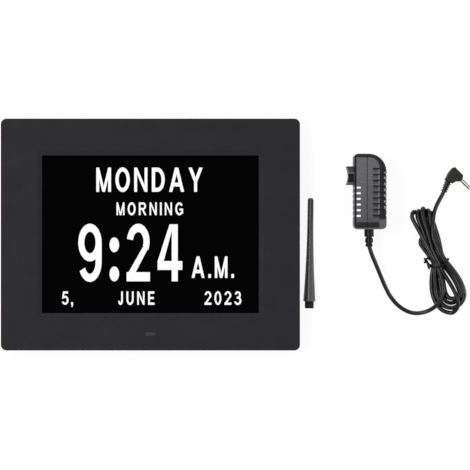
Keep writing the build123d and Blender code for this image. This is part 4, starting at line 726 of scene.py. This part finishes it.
# Highlights are painted as light lines along the ridges beside the slots.
for ridge_line in (clip_high + 0.45, clip_low - 0.6):
    painted_ridge_highlight = add_node(tree, "ShaderNodeMath", {"operation": "COMPARE", 1: ridge_line * MM, 2: 0.4 * MM},
                     {0: axes.outputs[1]})
    shade = add_node(tree, "ShaderNodeMix", {"data_type": "RGBA", 7: colour("6c6c6e")},
                     {0: painted_ridge_highlight.outputs[0], 6: shade.outputs[2]})
sheen = add_node(tree, "ShaderNodeMapRange", {"To Min": 0.4, "To Max": 0.5}, {"Value": fine.outputs["Fac"]})
skin = add_node(tree, "ShaderNodeBsdfPrincipled", {"Specular IOR Level": 0.22},
                {"Base Color": shade.outputs[2], "Roughness": sheen.outputs[0]})
add_node(tree, "ShaderNodeOutputMaterial", None, {"Surface": skin.outputs[0]})
dress(nose_pc, "plug_nose")
dress(moulded("yellow_winding_tape", "b59a2e", "c7ad3c", 0.8, 0.02, 0.35), "transformer_winding")
relief_pvc = moulded("moulded_soft_pvc", "090909", "161616", 0.6, 0.02, 0.4, 0.24)
dress(relief_pvc, "strain_relief")

# ---------------------------------------------------------------------------------------
# Plug. A soft PVC body moulded over a nickel-plated barrel, with a yellow insulating tip.
# ---------------------------------------------------------------------------------------
# Soft PVC again, waxy and near black; the neck's grooves are painted black as shade.
neck_pitch = 1.956
neck_first = 0.8
neck_end = 8.6
neck_axis = (math.cos(plug_heading), math.sin(plug_heading), 0.0)
along_at_rear = plug_rear.x * neck_axis[0] + plug_rear.y * neck_axis[1]
plug_pvc, tree = new_material("moulded_soft_pvc_plug")
place = add_node(tree, "ShaderNodeTexCoord")
fine = add_node(tree, "ShaderNodeTexNoise", {"Scale": 1.0 / (0.6 * MM), "Detail": 2.0},
                {"Vector": place.outputs["Object"]})
shade = add_node(tree, "ShaderNodeMix", {"data_type": "RGBA", 6: colour("202020"), 7: colour("343432")},
                 {0: fine.outputs["Fac"]})
along = add_node(tree, "ShaderNodeVectorMath", {"operation": "DOT_PRODUCT", 1: neck_axis},
                 {0: place.outputs["Object"]})
rings = add_node(tree, "ShaderNodeMath",
                 {"operation": "MULTIPLY_ADD", 1: 1.0 / (neck_pitch * MM), 2: 0.5 - neck_first - along_at_rear / neck_pitch},
                 {0: along.outputs["Value"]})
turn = add_node(tree, "ShaderNodeMath", {"operation": "FRACT"}, {0: rings.outputs[0]})
groove = add_node(tree, "ShaderNodeMath", {"operation": "COMPARE", 1: 0.5, 2: 0.27}, {0: turn.outputs[0]})
on_neck = add_node(tree, "ShaderNodeMath", {"operation": "LESS_THAN", 1: (along_at_rear + neck_end) * MM},
                   {0: along.outputs["Value"]})
# Painted shade: black in the neck's grooves.
painted_neck_shade = add_node(tree, "ShaderNodeMath", {"operation": "MULTIPLY"}, {0: groove.outputs[0], 1: on_neck.outputs[0]})
shade = add_node(tree, "ShaderNodeMix", {"data_type": "RGBA", 7: colour("020202")},
                 {0: painted_neck_shade.outputs[0], 6: shade.outputs[2]})
# A highlight is painted on the faces that turn up and to the left, such as its upper left bevel.
facing = add_node(tree, "ShaderNodeNewGeometry")
toward = add_node(tree, "ShaderNodeVectorMath", {"operation": "DOT_PRODUCT", 1: (-0.64, 0.38, 0.67)},
                  {0: facing.outputs["Normal"]})
painted_bevel_highlight = add_node(tree, "ShaderNodeMapRange", {"From Min": 0.9, "From Max": 0.99, "To Max": 0.8},
                  {"Value": toward.outputs["Value"]})
shade = add_node(tree, "ShaderNodeMix", {"data_type": "RGBA", 7: colour("6a6a68")},
                 {0: painted_bevel_highlight.outputs[0], 6: shade.outputs[2]})
bump = add_node(tree, "ShaderNodeBump", {"Strength": 0.5, "Distance": 0.02 * MM}, {"Height": fine.outputs["Fac"]})
skin = add_node(tree, "ShaderNodeBsdfPrincipled", {"Roughness": 0.36, "Specular IOR Level": 0.16},
                {"Base Color": shade.outputs[2], "Normal": bump.outputs[0]})
add_node(tree, "ShaderNodeOutputMaterial", None, {"Surface": skin.outputs[0]})
dress(plug_pvc, "dc_plug_body")

# Nickel plate: a painted white reflection along the top and painted dark reflections along both flanks.
barrel_root = Vector((234.25, 41.1))
barrel_across = (0.6947, 0.7193, 0.0)
barrel_highlight_half = 0.44
nickel, tree = new_material("nickel_plate")
place = add_node(tree, "ShaderNodeTexCoord")
across = add_node(tree, "ShaderNodeVectorMath", {"operation": "DOT_PRODUCT", 1: barrel_across},
                  {0: place.outputs["Object"]})
off_axis = add_node(tree, "ShaderNodeMath", {"operation": "SUBTRACT", 1: barrel_root.dot(Vector(barrel_across[:2])) * MM},
                    {0: across.outputs["Value"]})
aside = add_node(tree, "ShaderNodeMath", {"operation": "ABSOLUTE"}, {0: off_axis.outputs[0]})
# Painted dark reflections: near black farther than this from the barrel's axis.
painted_dark_flanks = add_node(tree, "ShaderNodeMapRange",
                   {"From Min": (barrel_highlight_half - 0.1) * MM, "From Max": (barrel_highlight_half + 0.12) * MM},
                   {"Value": aside.outputs[0]})
smears = add_node(tree, "ShaderNodeTexNoise", {"Scale": 1.0 / (1.2 * MM), "Detail": 3.0},
                  {"Vector": place.outputs["Object"]})
painted_white_reflection = add_node(tree, "ShaderNodeMix", {"data_type": "RGBA", 6: colour("ffffff"), 7: colour("fff6e4")},
                 {0: smears.outputs["Fac"]})
shade = add_node(tree, "ShaderNodeMix", {"data_type": "RGBA", 7: colour("020201")},
                 {0: painted_dark_flanks.outputs[0], 6: painted_white_reflection.outputs[2]})
skin = add_node(tree, "ShaderNodeBsdfPrincipled", {"Metallic": 0.1, "Roughness": 0.3, "Specular IOR Level": 0.3},
                {"Base Color": shade.outputs[2]})
add_node(tree, "ShaderNodeOutputMaterial", None, {"Surface": skin.outputs[0]})
dress(nickel, "dc_plug_sleeve")
yellow_tip = moulded("yellow_nylon_tip", "ecc84c", "f4d660", 0.4, 0.01, 0.38)
dress(yellow_tip, "dc_plug_tip")
